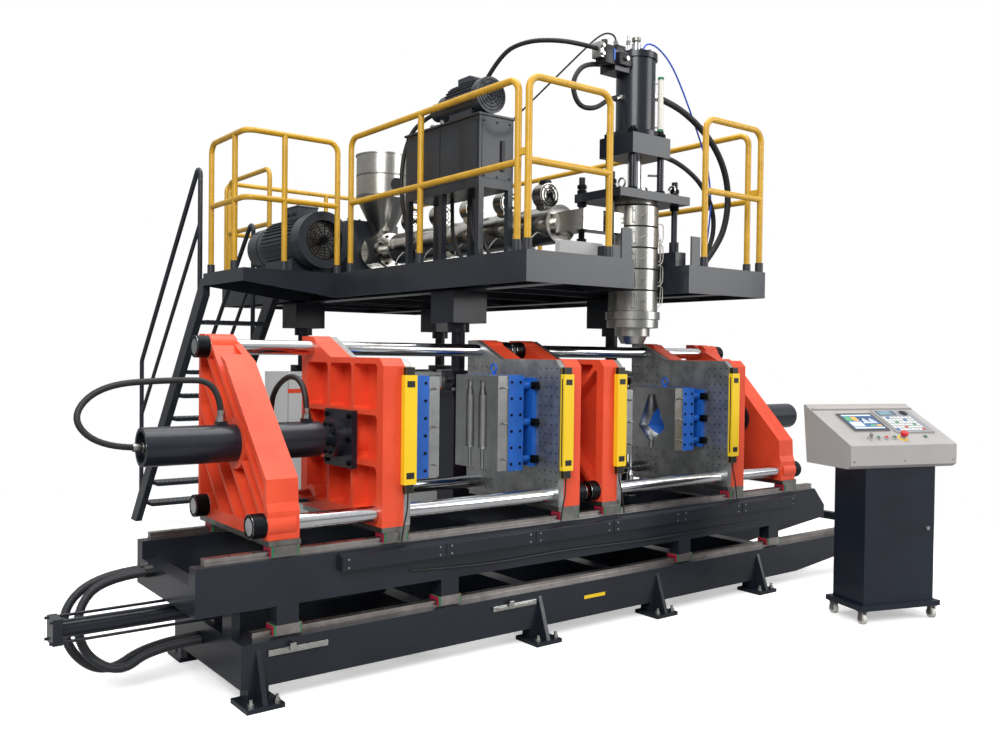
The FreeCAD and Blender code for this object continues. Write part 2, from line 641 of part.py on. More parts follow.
def station(side):
    """Make one clamp station, mirrored about the middle of the carriage."""
    label = "left" if side < 0 else "right"

    def run(near, far):
        """Give the length of a stretch."""
        return f"({far}) - ({near})"

    # frame: end plate, cylinder, bars, front platen
    end = casting(f"{label}_end_casting", side, "end_near", "end_far", END_OUTLINE,
                  diagonal_cells(), TIE_BOSSES + [("0", "axis_z", "clamp_dia + 70")],
                  "clamp_dia + 0.2")
    node(f"{label}_end_plate", end)
    front = casting(f"{label}_front_casting", -side, "-front_far", "-front_near", PLATEN_OUTLINE,
                    truss_cells(), TIE_BOSSES, None)
    node(f"{label}_front_platen", front)
    tube_low, tube_high = span(side, "clamp_near", "clamp_far")
    tube = [rod(f"{label}_tube", "clamp_dia", run("clamp_near", "clamp_far"),
                (tube_low, "0", "axis_z"), "x"),
            rod(f"{label}_collar", "clamp_dia + 44", "26",
                (span(side, "end_near - 26", "end_near")[0], "0", "axis_z"), "x")]
    for spot in ("clamp_near + 65", "end_far + 70"):
        middle = spot if side > 0 else f"-({spot})"
        tube.append(box(f"{label}_port_{spot[:3]}", (f"{middle} - 24", f"{middle} + 24"),
                        ("-24", "24"), ("axis_z + clamp_dia / 2 - 12", "axis_z + clamp_dia / 2 + 16")))
    hollow = [rod(f"{label}_inside", "clamp_bore", run("clamp_near + 60", "clamp_far - 90"),
                  (span(side, "clamp_near + 60", "clamp_far - 90")[0], "0", "axis_z"), "x"),
              rod(f"{label}_gland", "clamp_rod + 0.1", "120",
                  (span(side, "clamp_near - 20", "clamp_near + 100")[0], "0", "axis_z"), "x"),
              rod(f"{label}_recess", "clamp_dia - 36", "40",
                  (span(side, "clamp_far - 30", "clamp_far + 10")[0], "0", "axis_z"), "x")]
    node(f"{label}_clamp_cylinder", cut(f"{label}_clamp_barrel", fuse(f"{label}_clamp_outside", tube),
                                        hollow))
    bars = []
    for spot, y, z in TIES:
        start = span(side, "front_near - nut_long", "end_far + nut_long")[0]
        bars.append(fuse(f"{label}_tie_{spot}", [
            rod(f"{label}_bar_{spot}", "tie_dia", run("front_near - nut_long", "end_far + nut_long"),
                (start, y, z), "x"),
            rod(f"{label}_inner_nut_{spot}", "nut_dia", "nut_long",
                (span(side, "front_near - nut_long", "front_near")[0], y, z), "x"),
            rod(f"{label}_outer_nut_{spot}", "nut_dia", "nut_long",
                (span(side, "end_far", "end_far + nut_long")[0], y, z), "x")]))
    node(f"{label}_tie_bars", group(f"{label}_tie_set", bars))
    holes = [(y, z, "tie_dia + 2 * tie_gap") for _, y, z in TIES]
    face_outline = [("3 - platen_front", "sole_under + sole_thick + 1"),
                    ("platen_rear - 3", "sole_under + sole_thick + 1"),
                    ("platen_rear - 3", "ear_top - 3"), ("platen_rear - 97", "ear_top - 3"),
                    ("152", "platen_top - 3"), ("-platen_front + 42", "platen_top - 3"),
                    ("3 - platen_front", "platen_top - 42")]
    low, high = span(side, "front_far", "front_far + face_thick")
    node(f"{label}_front_face", prism(f"{label}_front_steel", "yz", low, "face_thick",
                                      [face_outline], holes))
    cavity = drop_cavity if side > 0 else bottle_cavities
    node(f"{label}_front_mould", mould_half(f"{label}_front_half", side,
                                            "front_far + face_thick", "face_front", cavity))
    node(f"{label}_front_slides", group(f"{label}_front_slide_set",
                                        sole(f"{label}_front_sole", side, "front_near",
                                             "front_far + face_thick - 2")
                                        + sole(f"{label}_end_sole", side, "end_near", "end_far")))
    node(f"{label}_front_curtain", light_curtain(f"{label}_front_light", side,
                                                 "front_near + 85", "front_far + face_thick"))
    # moving side
    moving = casting(f"{label}_moving_casting", side, "move_near + face_thick", "move_far",
                     PLATEN_OUTLINE, waffle_cells(), TIE_BOSSES + [("0", "axis_z", "250")], None)
    node(f"{label}_moving_platen", moving)
    low, high = span(side, "move_near", "move_near + face_thick")
    node(f"{label}_moving_face", prism(f"{label}_moving_steel", "yz", low, "face_thick",
                                       [face_outline], holes))
    node(f"{label}_moving_mould", mould_half(f"{label}_moving_half", side, "move_near",
                                             "face_move", cavity))
    flange_low, flange_high = span(side, "move_far", "move_far + 30")
    node(f"{label}_clamp_rod", fuse(f"{label}_clamp_rod_solid", [
        box(f"{label}_flange", (flange_low, flange_high), ("-150", "150"),
            ("axis_z - 150", "axis_z + 150")),
        rod(f"{label}_hub", "200", "60",
            (span(side, "move_far + 29", "move_far + 89")[0], "0", "axis_z"), "x"),
        rod(f"{label}_rod", "clamp_rod", run("move_far + 20", "clamp_far - 150"),
            (span(side, "move_far + 20", "clamp_far - 150")[0], "0", "axis_z"), "x"),
        rod(f"{label}_piston", "clamp_bore - 0.1", "60",
            (span(side, "clamp_far - 155", "clamp_far - 95")[0], "0", "axis_z"), "x")]))
    node(f"{label}_moving_slides", group(f"{label}_moving_slide_set",
                                         sole(f"{label}_moving_sole", side, "move_near + 5",
                                              "move_far")))
    node(f"{label}_moving_curtain", light_curtain(f"{label}_moving_light", side,
                                                  "move_near - 12", "move_near + 62"))


station(-1)
station(1)


# ---------------------------------------------------------------- lift columns and jacks
LEGS = [(x, y) for y in ("leg_front", "leg_back") for x in ("-leg_left", "leg_right")]
SHAFT_DIA = "40"
HEAD_LOW = "deck_top - fascia_high - head_high"
column_pieces = []
screw_pieces = []
for index, (x, y) in enumerate(LEGS):
    column = box(f"column_{index}", (f"{x} - leg_side / 2", f"{x} + leg_side / 2"),
                 (f"{y} - leg_side / 2", f"{y} + leg_side / 2"), ("0", "leg_high"))
    foot = box(f"column_foot_{index}", (f"{x} - 160", f"{x} + 160"), (f"{y} - 160", f"{y} + 160"),
               ("0", "20"))
    flange = box(f"column_flange_{index}", (f"{x} - 135", f"{x} + 135"),
                 (f"{y} - 135", f"{y} + 135"), ("leg_high - 20", "leg_high"))
    gear = rod(f"gear_{index}", "200", "120", (x, y, "leg_high - 1"))
    worm = rod(f"worm_{index}", "110", "240", (f"{x} - 120", f"{y} - 75", "leg_high + 70"), "x")
    worm_block = box(f"worm_block_{index}", (f"{x} - 90", f"{x} + 90"), (f"{y} - 95", f"{y} + 60"),
                     ("leg_high - 1", "leg_high + 128"))
    hollow = [rod(f"screw_room_{index}", "jack_dia + 3", "261", (x, y, "leg_high - 260")),
              rod(f"screw_nut_{index}", "jack_dia + 2 * nut_gap", "160", (x, y, "leg_high")),
              rod(f"worm_bore_{index}", f"{SHAFT_DIA} + 1", "300",
                  (f"{x} - 150", f"{y} - 75", "leg_high + 70"), "x")]
    column_pieces.append(cut(f"column_solid_{index}",
                             fuse(f"column_all_{index}", [column, foot, flange, gear, worm,
                                                          worm_block]), hollow))
    screw_low = "leg_high - lift_travel - 20"
    screw_pieces += [
        rod(f"jack_screw_{index}", "jack_dia", f"{HEAD_LOW} - ({screw_low})", (x, y, screw_low)),
        rod(f"jack_collar_{index}", "150", "60", (x, y, f"{HEAD_LOW} - 60")),
        box(f"jack_head_{index}", (f"{x} - head_side / 2", f"{x} + head_side / 2"),
            (f"{y} - head_side / 2", f"{y} + head_side / 2"),
            (HEAD_LOW, "deck_top - fascia_high"))]
column_pieces.append(rod("rear_shaft", f"{SHAFT_DIA} + 1", "leg_right + leg_left - 240",
                         ("-leg_left + 120", "leg_back - 75", "leg_high + 70"), "x"))
node("lift_columns", group("lift_column_set", column_pieces))
node("lift_screws", members("lift_screw_set", screw_pieces))
node("lift_shaft", rod("front_shaft", SHAFT_DIA, "leg_right + leg_left + 330",
                       ("-leg_left - 165", "leg_front - 75", "leg_high + 70"), "x"))

# ---------------------------------------------------------------- platform
DECK_UNDER = "deck_top - fascia_high"
DECK_SHEET = ("deck_top - sheet", "deck_top")
NOTCH_BACK = "(notch_deep - deck_front)"
deck_members = [
    box("deck_sheet_front", ("-deck_left", "deck_right"), (NOTCH_BACK, "wing_front"), DECK_SHEET),
    box("deck_sheet_back", ("-deck_left", "deck_right"), ("wing_front", "deck_back"), DECK_SHEET),
    box("deck_sheet_left", ("-deck_left", "notch_left"), ("-deck_front", NOTCH_BACK), DECK_SHEET),
    box("deck_sheet_right", ("notch_right", "deck_right"), ("-deck_front", NOTCH_BACK), DECK_SHEET),
    box("deck_sheet_wing", ("-wing_left", "-deck_left"), ("wing_front", "wing_back"), DECK_SHEET)]
FASCIA = (DECK_UNDER, "deck_top - sheet")
SHEET_EDGES = [
    ("front_left", ("-deck_left", "notch_left"), ("-deck_front", "sheet - deck_front")),
    ("front_right", ("notch_right", "deck_right"), ("-deck_front", "sheet - deck_front")),
    ("back", ("-deck_left", "deck_right"), ("deck_back - sheet", "deck_back")),
    ("right", ("deck_right - sheet", "deck_right"), ("sheet - deck_front", "deck_back - sheet")),
    ("left_near", ("-deck_left", "sheet - deck_left"), ("sheet - deck_front", "wing_front")),
    ("left_far", ("-deck_left", "sheet - deck_left"), ("wing_back", "deck_back - sheet")),
    ("notch_left", ("notch_left - sheet", "notch_left"), ("sheet - deck_front", NOTCH_BACK)),
    ("notch_right", ("notch_right", "notch_right + sheet"), ("sheet - deck_front", NOTCH_BACK)),
    ("notch_back", ("notch_left - sheet", "notch_right + sheet"), (NOTCH_BACK, f"{NOTCH_BACK} + sheet"))]
for label, x, y in SHEET_EDGES:
    deck_members.append(box(f"fascia_{label}", x, y, FASCIA))
wing_edge = [("-deck_left", DECK_UNDER), ("-deck_left", "deck_top - sheet"),
             ("-wing_left", "deck_top - sheet"), ("-wing_left", "deck_top - wing_tip_high")]
deck_members += [
    prism("fascia_wing_front", "xz", "-wing_front - sheet", "sheet", [wing_edge]),
    prism("fascia_wing_back", "xz", "-wing_back", "sheet", [wing_edge]),
    box("fascia_wing_tip", ("-wing_left", "sheet - wing_left"),
        ("wing_front + sheet", "wing_back - sheet"), ("deck_top - wing_tip_high", "deck_top - sheet"))]
for label, middle in (("left", "-leg_left"), ("right", "leg_right")):
    for part, half, low, high in (("flange", "60", DECK_UNDER, f"{DECK_UNDER} + 12"),
                                  ("web", "6", f"{DECK_UNDER} + 12", "deck_top - sheet")):
        deck_members.append(box(f"deck_beam_{label}_{part}", (f"{middle} - {half}", f"{middle} + {half}"),
                                ("sheet - deck_front", "deck_back - sheet"), (low, high)))
for index, middle in enumerate(("320", "leg_front", "1400", "2060", "2850 - 12", "leg_back", "3750")):
    for part, low, high in (("left", "sheet - deck_left", "-leg_left - 6"),
                            ("middle", "6 - leg_left", "leg_right - 6"),
                            ("right", "leg_right + 6", "deck_right - sheet")):
        deck_members.append(box(f"deck_cross_{index}_{part}", (low, high),
                                (f"{middle} - 6", f"{middle} + 6"),
                                (f"{DECK_UNDER} + 12", "deck_top - sheet")))
for label, low, high in (("left", "notch_left - 80", "notch_left"),
                         ("right", "notch_right", "notch_right + 100")):
    deck_members.append(box(f"head_rest_{label}", (low, high), ("-150", "330"),
                            ("deck_top", "deck_top + rest_high")))
for label, low, high in (("left", "notch_left - 110", "notch_left - 24"),
                         ("right", "notch_right + 22", "notch_right + 108")):
    deck_members.append(box(f"upright_{label}", (low, high), ("-deck_front", "12 - deck_front"),
                            ("deck_top", "deck_top + 190")))
node("deck_frame", members("deck_members", deck_members))


def strut(name, diameter, start, stop):
    """Make a round bar between two points given as formulas."""
    first = VECTOR(*[number(value) for value in start])
    last = VECTOR(*[number(value) for value in stop])
    obj = DOC.addObject("Part::Cylinder", name)
    obj.setExpression("Radius", bound(f"({diameter}) / 2"))
    obj.Height = first.distanceToPoint(last)
    obj.Placement = FreeCAD.Placement(first, FreeCAD.Rotation(VECTOR(0, 0, 1), last - first))
    return obj


def elbow(name, corner, first, second, radius, diameter):
    """Make the bend of a tube at a corner, between legs that run off in two directions."""
    first, second = VECTOR(*first).normalize(), VECTOR(*second).normalize()
    bend, turn = number(radius), math.pi - first.getAngle(second)
    spot = VECTOR(*[number(value) for value in corner])
    middle = spot + (first + second).normalize() * (bend / math.cos(turn / 2))
    across = spot + first * (bend * math.tan(turn / 2)) - middle
    obj = DOC.addObject("Part::Torus", name)
    obj.setExpression("Radius1", bound(radius))
    obj.setExpression("Radius2", bound(f"({diameter}) / 2"))
    obj.Angle3 = math.degrees(turn)
    obj.Placement = FreeCAD.Placement(
        middle, FreeCAD.Rotation(across, first * -1, across.cross(first * -1), "XYZ"))
    return obj


RAIL_Z = "deck_top + top_rail - rail_tube / 2"
SADDLE = "rail_tube + 0.1"


def upright(name, x, y, high):
    """Make a railing post in its floor socket."""
    return fuse(name, [rod(f"{name}_tube", "rail_tube", high, (x, y, "deck_top")),
                       rod(f"{name}_socket", "rail_tube + 14", "65", (x, y, "deck_top"))])


def hoop(name, axis, line, low, high, inner=(), bent=(True, True)):
    """Make a railing section: a bent top tube, a mid tube, end posts and inner posts."""
    def spot(along, z):
        """Give a place on the section."""
        return (along, line, z) if axis == "x" else (line, along, z)

    def direction(sign):
        """Give the section's own direction."""
        return (sign, 0, 0) if axis == "x" else (0, sign, 0)

    pieces = []
    top = [rod(f"{name}_top_run", "rail_tube", f"({high}) - ({low}) - 2 * rail_bend",
               spot(f"({low}) + rail_bend", RAIL_Z), axis)]
    for sign, end, turned in ((1, low, bent[0]), (-1, high, bent[1])):
        if turned:
            top.append(elbow(f"{name}_bend_{sign + 1}", spot(end, RAIL_Z), direction(sign), (0, 0, -1),
                             "rail_bend", "rail_tube"))
            pieces.append(upright(f"{name}_post_{sign + 1}", *spot(end, "0")[:2],
                                  "top_rail - rail_tube / 2 - rail_bend"))
    pieces += top
    ends = (low, *inner, high) if bent[0] else (*inner, high)
    saddles = [rod(f"{name}_saddle_{index}", SADDLE, "120", spot(end, "deck_top + mid_rail - 60"))
               for index, end in enumerate(ends)]
    first = low if bent[0] else f"({low}) + rail_bend"
    middle = rod(f"{name}_mid_run", "rail_tube", f"({high}) - ({first})",
                 spot(first, "deck_top + mid_rail"), axis)
    pieces.append(cut(f"{name}_mid", middle, saddles))
    for index, along in enumerate(inner):
        pieces.append(cut(f"{name}_inner_{index}", upright(f"{name}_inner_all_{index}",
                                                            *spot(along, "0")[:2],
                                                            "top_rail - rail_tube / 2"), [
            rod(f"{name}_top_saddle_{index}", SADDLE, "120", spot(f"({along}) - 60", RAIL_Z), axis)]))
    return pieces


LEFT = "post_inset - deck_left"
RIGHT = "deck_right - post_inset"
FRONT = "post_inset - deck_front"
BACK = "deck_back - post_inset"
WING_LEFT = "post_inset - wing_left"
WING_FRONT = "wing_front + post_inset"
rail_pieces = (
    hoop("rail_front_left", "x", FRONT, LEFT, "278")
    + hoop("rail_side_left", "y", LEFT, f"{FRONT} + 97", "wing_front - 187", ("901",))
    + hoop("rail_front_right", "x", FRONT, "1168", f"{RIGHT} - 8")
    + hoop("rail_side_right", "y", RIGHT, f"{FRONT} + 114", f"{BACK} - 70", ("1000", "2200", "3300"))
    + hoop("rail_back", "x", BACK, LEFT, f"{RIGHT} - 8", ("682",))
    + hoop("rail_side_far", "y", LEFT, "wing_back + 490", f"{BACK} - 70"))
# the wing's railing is one tube with a bend in plan at its corner
rail_pieces += hoop("rail_wing_side", "y", WING_LEFT, f"{WING_FRONT}", "wing_back - 93", ("2287",),
                    (False, True))
rail_pieces += hoop("rail_wing_front", "x", WING_FRONT, f"{WING_LEFT}", LEFT, ("-803",), (False, True))
for level, height in (("top", RAIL_Z), ("mid", "deck_top + mid_rail")):
    rail_pieces.append(elbow(f"rail_wing_bend_{level}", (WING_LEFT, WING_FRONT, height), (1, 0, 0),
                             (0, 1, 0), "rail_bend", "rail_tube"))
node("railings", group("railing_set", rail_pieces))

# ---------------------------------------------------------------- stair
STAIR_RUN = "1835"
STAIR_DEEP = "230"
STRINGER = "55"
STAIR_INNER = "-545"
HAND_TUBE = "rail_tube - 4"
HAND_BEND = "45"
stair_pieces = []
for label, low in (("outer", "-wing_left"), ("inner", STAIR_INNER)):
    slant = [("wing_back", "2040"), ("wing_back", "2170"), ("wing_back + 60", "2170"),
             (f"wing_back + {STAIR_RUN} + 40", "0"), (f"wing_back + {STAIR_RUN} - 120", "0")]
    stair_pieces.append(prism(f"stringer_{label}", "yz", low, STRINGER, [slant]))
STEPS = 9
for step in range(1, STEPS + 1):
    height = 205 * step
    depth = f"wing_back + {STAIR_RUN} - 20 - {height} * 0.82"
    stair_pieces.append(box(f"tread_{step}", (f"-wing_left + {STRINGER}", STAIR_INNER),
                            (f"{depth} - {STAIR_DEEP}", depth), (f"{height} - 32", str(height))))
RAIL_DROP = 1620 / 1495
for label, x, head_y in (("outer", f"-wing_left + {STRINGER} / 2", "wing_back + 150"),
                         ("inner", f"{STAIR_INNER} + {STRINGER} / 2", "wing_back + 480")):
    low_y = f"wing_back + {STAIR_RUN} - 190"
    head_z = f"1500 + ({low_y} - ({head_y})) * {RAIL_DROP}"
    down = (0, 1, -RAIL_DROP)
    half_turn = math.tan((math.pi - VECTOR(*down).getAngle(VECTOR(0, 0, -1))) / 2)
    backs = {"head": number(HAND_BEND) * half_turn, "foot": number(HAND_BEND) / half_turn}
    reach, foot_reach = (backs[end] / math.hypot(1, RAIL_DROP) for end in ("head", "foot"))
    posts = {}
    for end, y, z, low_z in (("head", head_y, head_z, f"2170 - (({head_y}) - wing_back - 60) * 1.1956"),
                             ("foot", low_y, "1500", f"2170 - ({low_y} - wing_back - 60) * 1.1956")):
        posts[end] = rod(f"hand_{end}_{label}", HAND_TUBE, f"({z}) - ({low_z}) + 5 - {backs[end]}",
                         (x, y, f"{low_z} - 5"))
    stair_pieces += [posts["head"], posts["foot"]]
    stair_pieces.append(elbow(f"hand_bend_{label}", (x, head_y, head_z), (0, 0, -1), down, HAND_BEND,
                              HAND_TUBE))
    stair_pieces.append(elbow(f"hand_kink_{label}", (x, low_y, "1500"), (0, 0, -1), (0, -1, RAIL_DROP),
                              HAND_BEND, HAND_TUBE))
    stair_pieces.append(strut(f"hand_{label}", HAND_TUBE,
                              (x, f"{head_y} + {reach}", f"{head_z} - {reach * RAIL_DROP}"),
                              (x, f"{low_y} - {foot_reach}", f"1500 + {foot_reach * RAIL_DROP}")))
    saddles = [rod(f"hand_saddle_{label}_{end}", f"{HAND_TUBE} + 0.1", "400", (x, y, z))
               for end, y, z in (("head", head_y, f"{head_z} - 700"), ("foot", low_y, "800"))]
    stair_pieces.append(cut(f"hand_mid_{label}", strut(
        f"hand_mid_run_{label}", "rail_tube - 10", (x, head_y, f"{head_z} - 500"),
        (x, low_y, "1000")), saddles))
node("stair", members("stair_members", stair_pieces))

# ---------------------------------------------------------------- extruder
BARREL_FRONT = "200"
BARREL_BACK = "2600"
extruder_pieces = [rod("barrel_tube", "barrel_dia", f"{BARREL_BACK} - {BARREL_FRONT}",
                       ("extruder_x", BARREL_FRONT, "melt_z"), "y")]
ZONES = (395, 830, 1240, 1650, 2060)
for index, middle in enumerate(ZONES):
    extruder_pieces.append(rod(f"heater_cover_{index}", "250", "330",
                               ("extruder_x", f"{middle} - 165", "melt_z"), "y"))
    extruder_pieces.append(box(f"blower_duct_{index}", ("extruder_x - 45", "extruder_x + 45"),
                               (f"{middle} - 40", f"{middle} + 40"), ("melt_z + 100", "melt_z + 180")))
    extruder_pieces.append(rod(f"blower_{index}", "160", "90",
                               ("extruder_x", f"{middle} - 45", "melt_z + 205"), "y"))
extruder_pieces.append(rod("feed_flange", "288", "40", ("extruder_x", "2380", "melt_z"), "y"))
extruder_pieces.append(box("feed_throat", ("extruder_x - 110", "extruder_x + 110"), ("2418", "2640"),
                           ("melt_z - 110", "melt_z + 112")))
extruder_pieces.append(rod("back_flange", "288", "40", ("extruder_x", "2639", "melt_z"), "y"))
for index, middle in enumerate(("615", "1855")):
    extruder_pieces.append(box(f"barrel_stand_{index}", ("extruder_x - 90", "extruder_x + 90"),
                               (f"{middle} - 15", f"{middle} + 15"), ("deck_top", "melt_z - 40")))
extruder_pieces += [
    box("adapter", ("extruder_x - 70", "extruder_x + 70"), ("-65", "201"), ("melt_z - 65", "melt_z + 65")),
    box("adapter_arm", ("extruder_x + 69", "head_x - 100"), ("-65", "65"), ("melt_z - 65", "melt_z + 65"))]
node("extruder", cut("extruder_solid", fuse("extruder_all", extruder_pieces), [
    rod("barrel_bore", "screw_dia + 0.2", f"{BARREL_BACK} + 100 - 205",
        ("extruder_x", "205", "melt_z"), "y"),
    rod("adapter_seat", "head_dia", "300", ("head_x", "0", "melt_z - 150")),
    rod("melt_way", "40", "400", ("extruder_x", "0", "melt_z"), "x"),
    rod("melt_turn", "40", "230", ("extruder_x", "-20", "melt_z"), "y"),
    rod("feed_hole", "120", "150", ("extruder_x", "2530", "melt_z"))]))
node("extruder_screw", fuse("screw_solid", [
    rod("screw_bar", "screw_dia", "2680 - 260", ("extruder_x", "260", "melt_z"), "y"),
    cone("screw_tip", "20", "screw_dia", "50", ("extruder_x", "211", "melt_z"), "y"),
    rod("screw_shaft", "70", "200", ("extruder_x", "2679", "melt_z"), "y")]))
GEAR_FRONT = "2680"
GEAR_BACK = "3080"
gear_pieces = [
    box("gear_case", ("extruder_x - 240", "extruder_x + 240"), (GEAR_FRONT, GEAR_BACK),
        ("deck_top", "melt_z + 250")),
    box("gear_lid", ("extruder_x - 200", "extruder_x + 200"), (f"{GEAR_FRONT} + 40", f"{GEAR_BACK} - 40"),
        ("melt_z + 249", "melt_z + 275")),
    rod("gear_nose", "240", "30", ("extruder_x", f"{GEAR_FRONT} - 1", "melt_z"), "y")]
MOTOR_X = "-420"
PULLEY_Z = "melt_z + 10"
motor_pieces = [
    rod("motor_body", "400", "640", (MOTOR_X, "2330", PULLEY_Z), "y"),
    rod("motor_cowl", "440", "150", (MOTOR_X, "2180", PULLEY_Z), "y"),
    box("motor_feet", (f"{MOTOR_X} - 170", f"{MOTOR_X} + 170"), ("2400", "2900"),
        ("deck_top", "melt_z - 130")),
    rod("motor_nose", "360", "100", (MOTOR_X, "2960", PULLEY_Z), "y"),
    box("motor_box", (f"{MOTOR_X} - 90", f"{MOTOR_X} + 90"), ("2480", "2700"),
        ("melt_z + 190", "melt_z + 290"))]
node("motor_frame", cut("motor_solid", fuse("motor_all", motor_pieces), [
    rod("motor_room", "300", "600", (MOTOR_X, "2310", PULLEY_Z), "y"),
    rod("cowl_room", "330", "90", (MOTOR_X, "2230", PULLEY_Z), "y"),
    rod("cowl_eye", "310", "60", (MOTOR_X, "2175", PULLEY_Z), "y"),
    rod("motor_bearing", "70.1", "400", (MOTOR_X, "2800", PULLEY_Z), "y")]))
node("motor_rotor", fuse("rotor_solid", [
    rod("rotor_shaft", "70", "3210 - 2215", (MOTOR_X, "2215", PULLEY_Z), "y"),
    rod("rotor_core", "280", "420", (MOTOR_X, "2400", PULLEY_Z), "y"),
    rod("rotor_fan", "290", "30", (MOTOR_X, "2240", PULLEY_Z), "y"),
    rod("rotor_pulley", "220", "90", (MOTOR_X, "3120", PULLEY_Z), "y")]))
gear_pieces += [rod("guard_left", "360", "180", (MOTOR_X, "3080", PULLEY_Z), "y"),
                rod("guard_right", "360", "180", ("extruder_x", "3080", PULLEY_Z), "y"),
                box("guard_middle", (MOTOR_X, "extruder_x"), ("3080", "3260"),
                    (f"{PULLEY_Z} - 180", f"{PULLEY_Z} + 180"))]
guard_rooms = [rod("guard_room_left", "344", "164", (MOTOR_X, "3088", PULLEY_Z), "y"),
               rod("guard_room_right", "344", "164", ("extruder_x", "3088", PULLEY_Z), "y"),
               box("guard_room_middle", (MOTOR_X, "extruder_x"), ("3088", "3252"),
                   (f"{PULLEY_Z} - 172", f"{PULLEY_Z} + 172")),
               rod("guard_hole", "120", "30", (MOTOR_X, "3070", PULLEY_Z), "y")]
node("gearbox", cut("gearbox_solid", fuse("gearbox_all", gear_pieces), guard_rooms + [
    rod("gear_bore", "120", "240", ("extruder_x", f"{GEAR_FRONT} - 10", "melt_z"), "y")]))

# ---------------------------------------------------------------- hopper
HOPPER_Y = "2530"
HOPPER_LOW = "melt_z + 112"
hopper_out = [cone("hopper_cone", "116", "450", f"2900 - ({HOPPER_LOW})",
                   ("extruder_x", HOPPER_Y, HOPPER_LOW)),
              rod("hopper_drum", "450", "365", ("extruder_x", HOPPER_Y, "2899")),
              rod("hopper_rim", "466", "10", ("extruder_x", HOPPER_Y, "3254")),
              rod("hopper_flange", "180", "12", ("extruder_x", HOPPER_Y, HOPPER_LOW))]
hopper_in = [cone("hopper_hollow", "110", "444", f"2901 - ({HOPPER_LOW})",
                  ("extruder_x", HOPPER_Y, HOPPER_LOW)),
             rod("hopper_inside", "444", "380", ("extruder_x", HOPPER_Y, "2900")),
             rod("hopper_way", "110", "60", ("extruder_x", HOPPER_Y, "2540"))]
node("hopper", cut("hopper_solid", fuse("hopper_all", hopper_out), hopper_in))

# ---------------------------------------------------------------- oil tank
TANK = (("-190", "90"), ("480", "1370"), ("2720", "3150"))
tank_pieces = [box("tank_body", *TANK),
               box("tank_lid", ("-202", "102"), ("468", "1382"), ("3149", "3162")),
               box("tank_frame", ("-190", "90"), ("480", "1370"), ("2685", "2721"))]
for index, (x, y) in enumerate(((-170, 500), (70, 500), (-170, 1350), (70, 1350), (-170, 925),
                                (70, 925))):
    tank_pieces.append(box(f"tank_leg_{index}", (f"{x} - 20", f"{x} + 20"), (f"{y} - 20", f"{y} + 20"),
                           ("deck_top", "2686")))
tank_pieces += [
    rod("pump_motor", "230", "330", ("-50", "600", "3310"), "y"),
    rod("pump_cowl", "240", "60", ("-50", "545", "3310"), "y"),
    rod("pump_bell", "180", "120", ("-50", "929", "3310"), "y"),
    rod("pump", "130", "130", ("-50", "1048", "3310"), "y"),
    box("pump_feet", ("-140", "40"), ("640", "900"), ("3161", "3230")),
    rod("tank_filler", "80", "60", ("0", "1270", "3161"))]
node("oil_tank", fuse("tank_solid", tank_pieces))

# ---------------------------------------------------------------- accumulator head
DIE_LOW = "(head_under - die_drop)"
RAM_LOW = "(head_over + yoke_rise + yoke_high)"
RAM_HIGH = "(head_over + yoke_rise + yoke_high + ram_long)"
YOKE_LOW = "(head_over + yoke_rise)"
head_pieces = [rod("head_core", "head_dia - 40", "head_over - head_under + 40",
                   ("head_x", "0", "head_under - 20"))]
BANDS = 5
for index in range(BANDS):
    step = "(head_over - head_under - 6) / 5"
    head_pieces.append(rod(f"head_band_{index}", "head_dia", f"{step} - 12",
                           ("head_x", "0", f"head_under + 6 + {index} * {step}")))
head_pieces += [rod("head_ring_top", "360", "50", ("head_x", "0", "head_under - 50")),
                rod("head_ring_low", "340", "48", ("head_x", "0", "head_under - 104")),
                rod("head_neck", "300", "20", ("head_x", "0", "head_under - 60")),
                rod("die_top", "230", "60", ("head_x", "0", f"{DIE_LOW} + 50")),
                cone("die", "150", "200", "55", ("head_x", "0", DIE_LOW))]
node("head_barrel", cut("head_barrel_solid", fuse("head_all", head_pieces), [
    rod("head_bore", "ram_bore", "head_over - 2150", ("head_x", "0", "2150")),
    rod("head_top_bore", "ram_bore", "100", ("head_x", "0", "head_over - 20")),
    rod("head_melt", "100", f"2151 - {DIE_LOW} - 80", ("head_x", "0", f"{DIE_LOW} + 80")),
    cone("die_mouth", "110", "60", "90", ("head_x", "0", f"{DIE_LOW} - 1")),
    rod("die_way", "60", "100", ("head_x", "0", f"{DIE_LOW} + 60"))]))
PLATE_LOW = "(head_over + plate_gap)"
frame_pieces = [box("head_plate", ("head_x - 325", "head_x + 325"), ("-200", "230"),
                    (PLATE_LOW, f"{PLATE_LOW} + plate_high"))]
for x in (-295, 295):
    for y in (-90, 190):
        frame_pieces.append(rod(f"head_pillar_{x}_{y}", "40",
                                f"{PLATE_LOW} + plate_high + 110 - deck_top - rest_high",
                                (f"head_x + {x}", str(y), "deck_top + rest_high")))
        frame_pieces.append(rod(f"pillar_nut_{x}_{y}", "64", "70",
                                (f"head_x + {x}", str(y), "deck_top + rest_high")))
for x in (-130, 130):
    for y in (-110, 110):
        frame_pieces.append(rod(f"head_tie_{x}_{y}", "44", f"{YOKE_LOW} - {PLATE_LOW} - plate_high + 2",
                                (f"head_x + {x}", str(y), f"{PLATE_LOW} + plate_high - 1")))
frame_pieces.append(box("head_yoke", ("head_x - 175", "head_x + 175"), ("-155", "155"),
                        (YOKE_LOW, RAM_LOW)))
frame_pieces.append(rod("ram_tube", "ram_dia", "ram_long + 1",
                        ("head_x", "0", f"{RAM_LOW} - 1")))
frame_pieces.append(rod("ram_foot", "ram_dia + 50", "35", ("head_x", "0", f"{RAM_LOW} - 1")))
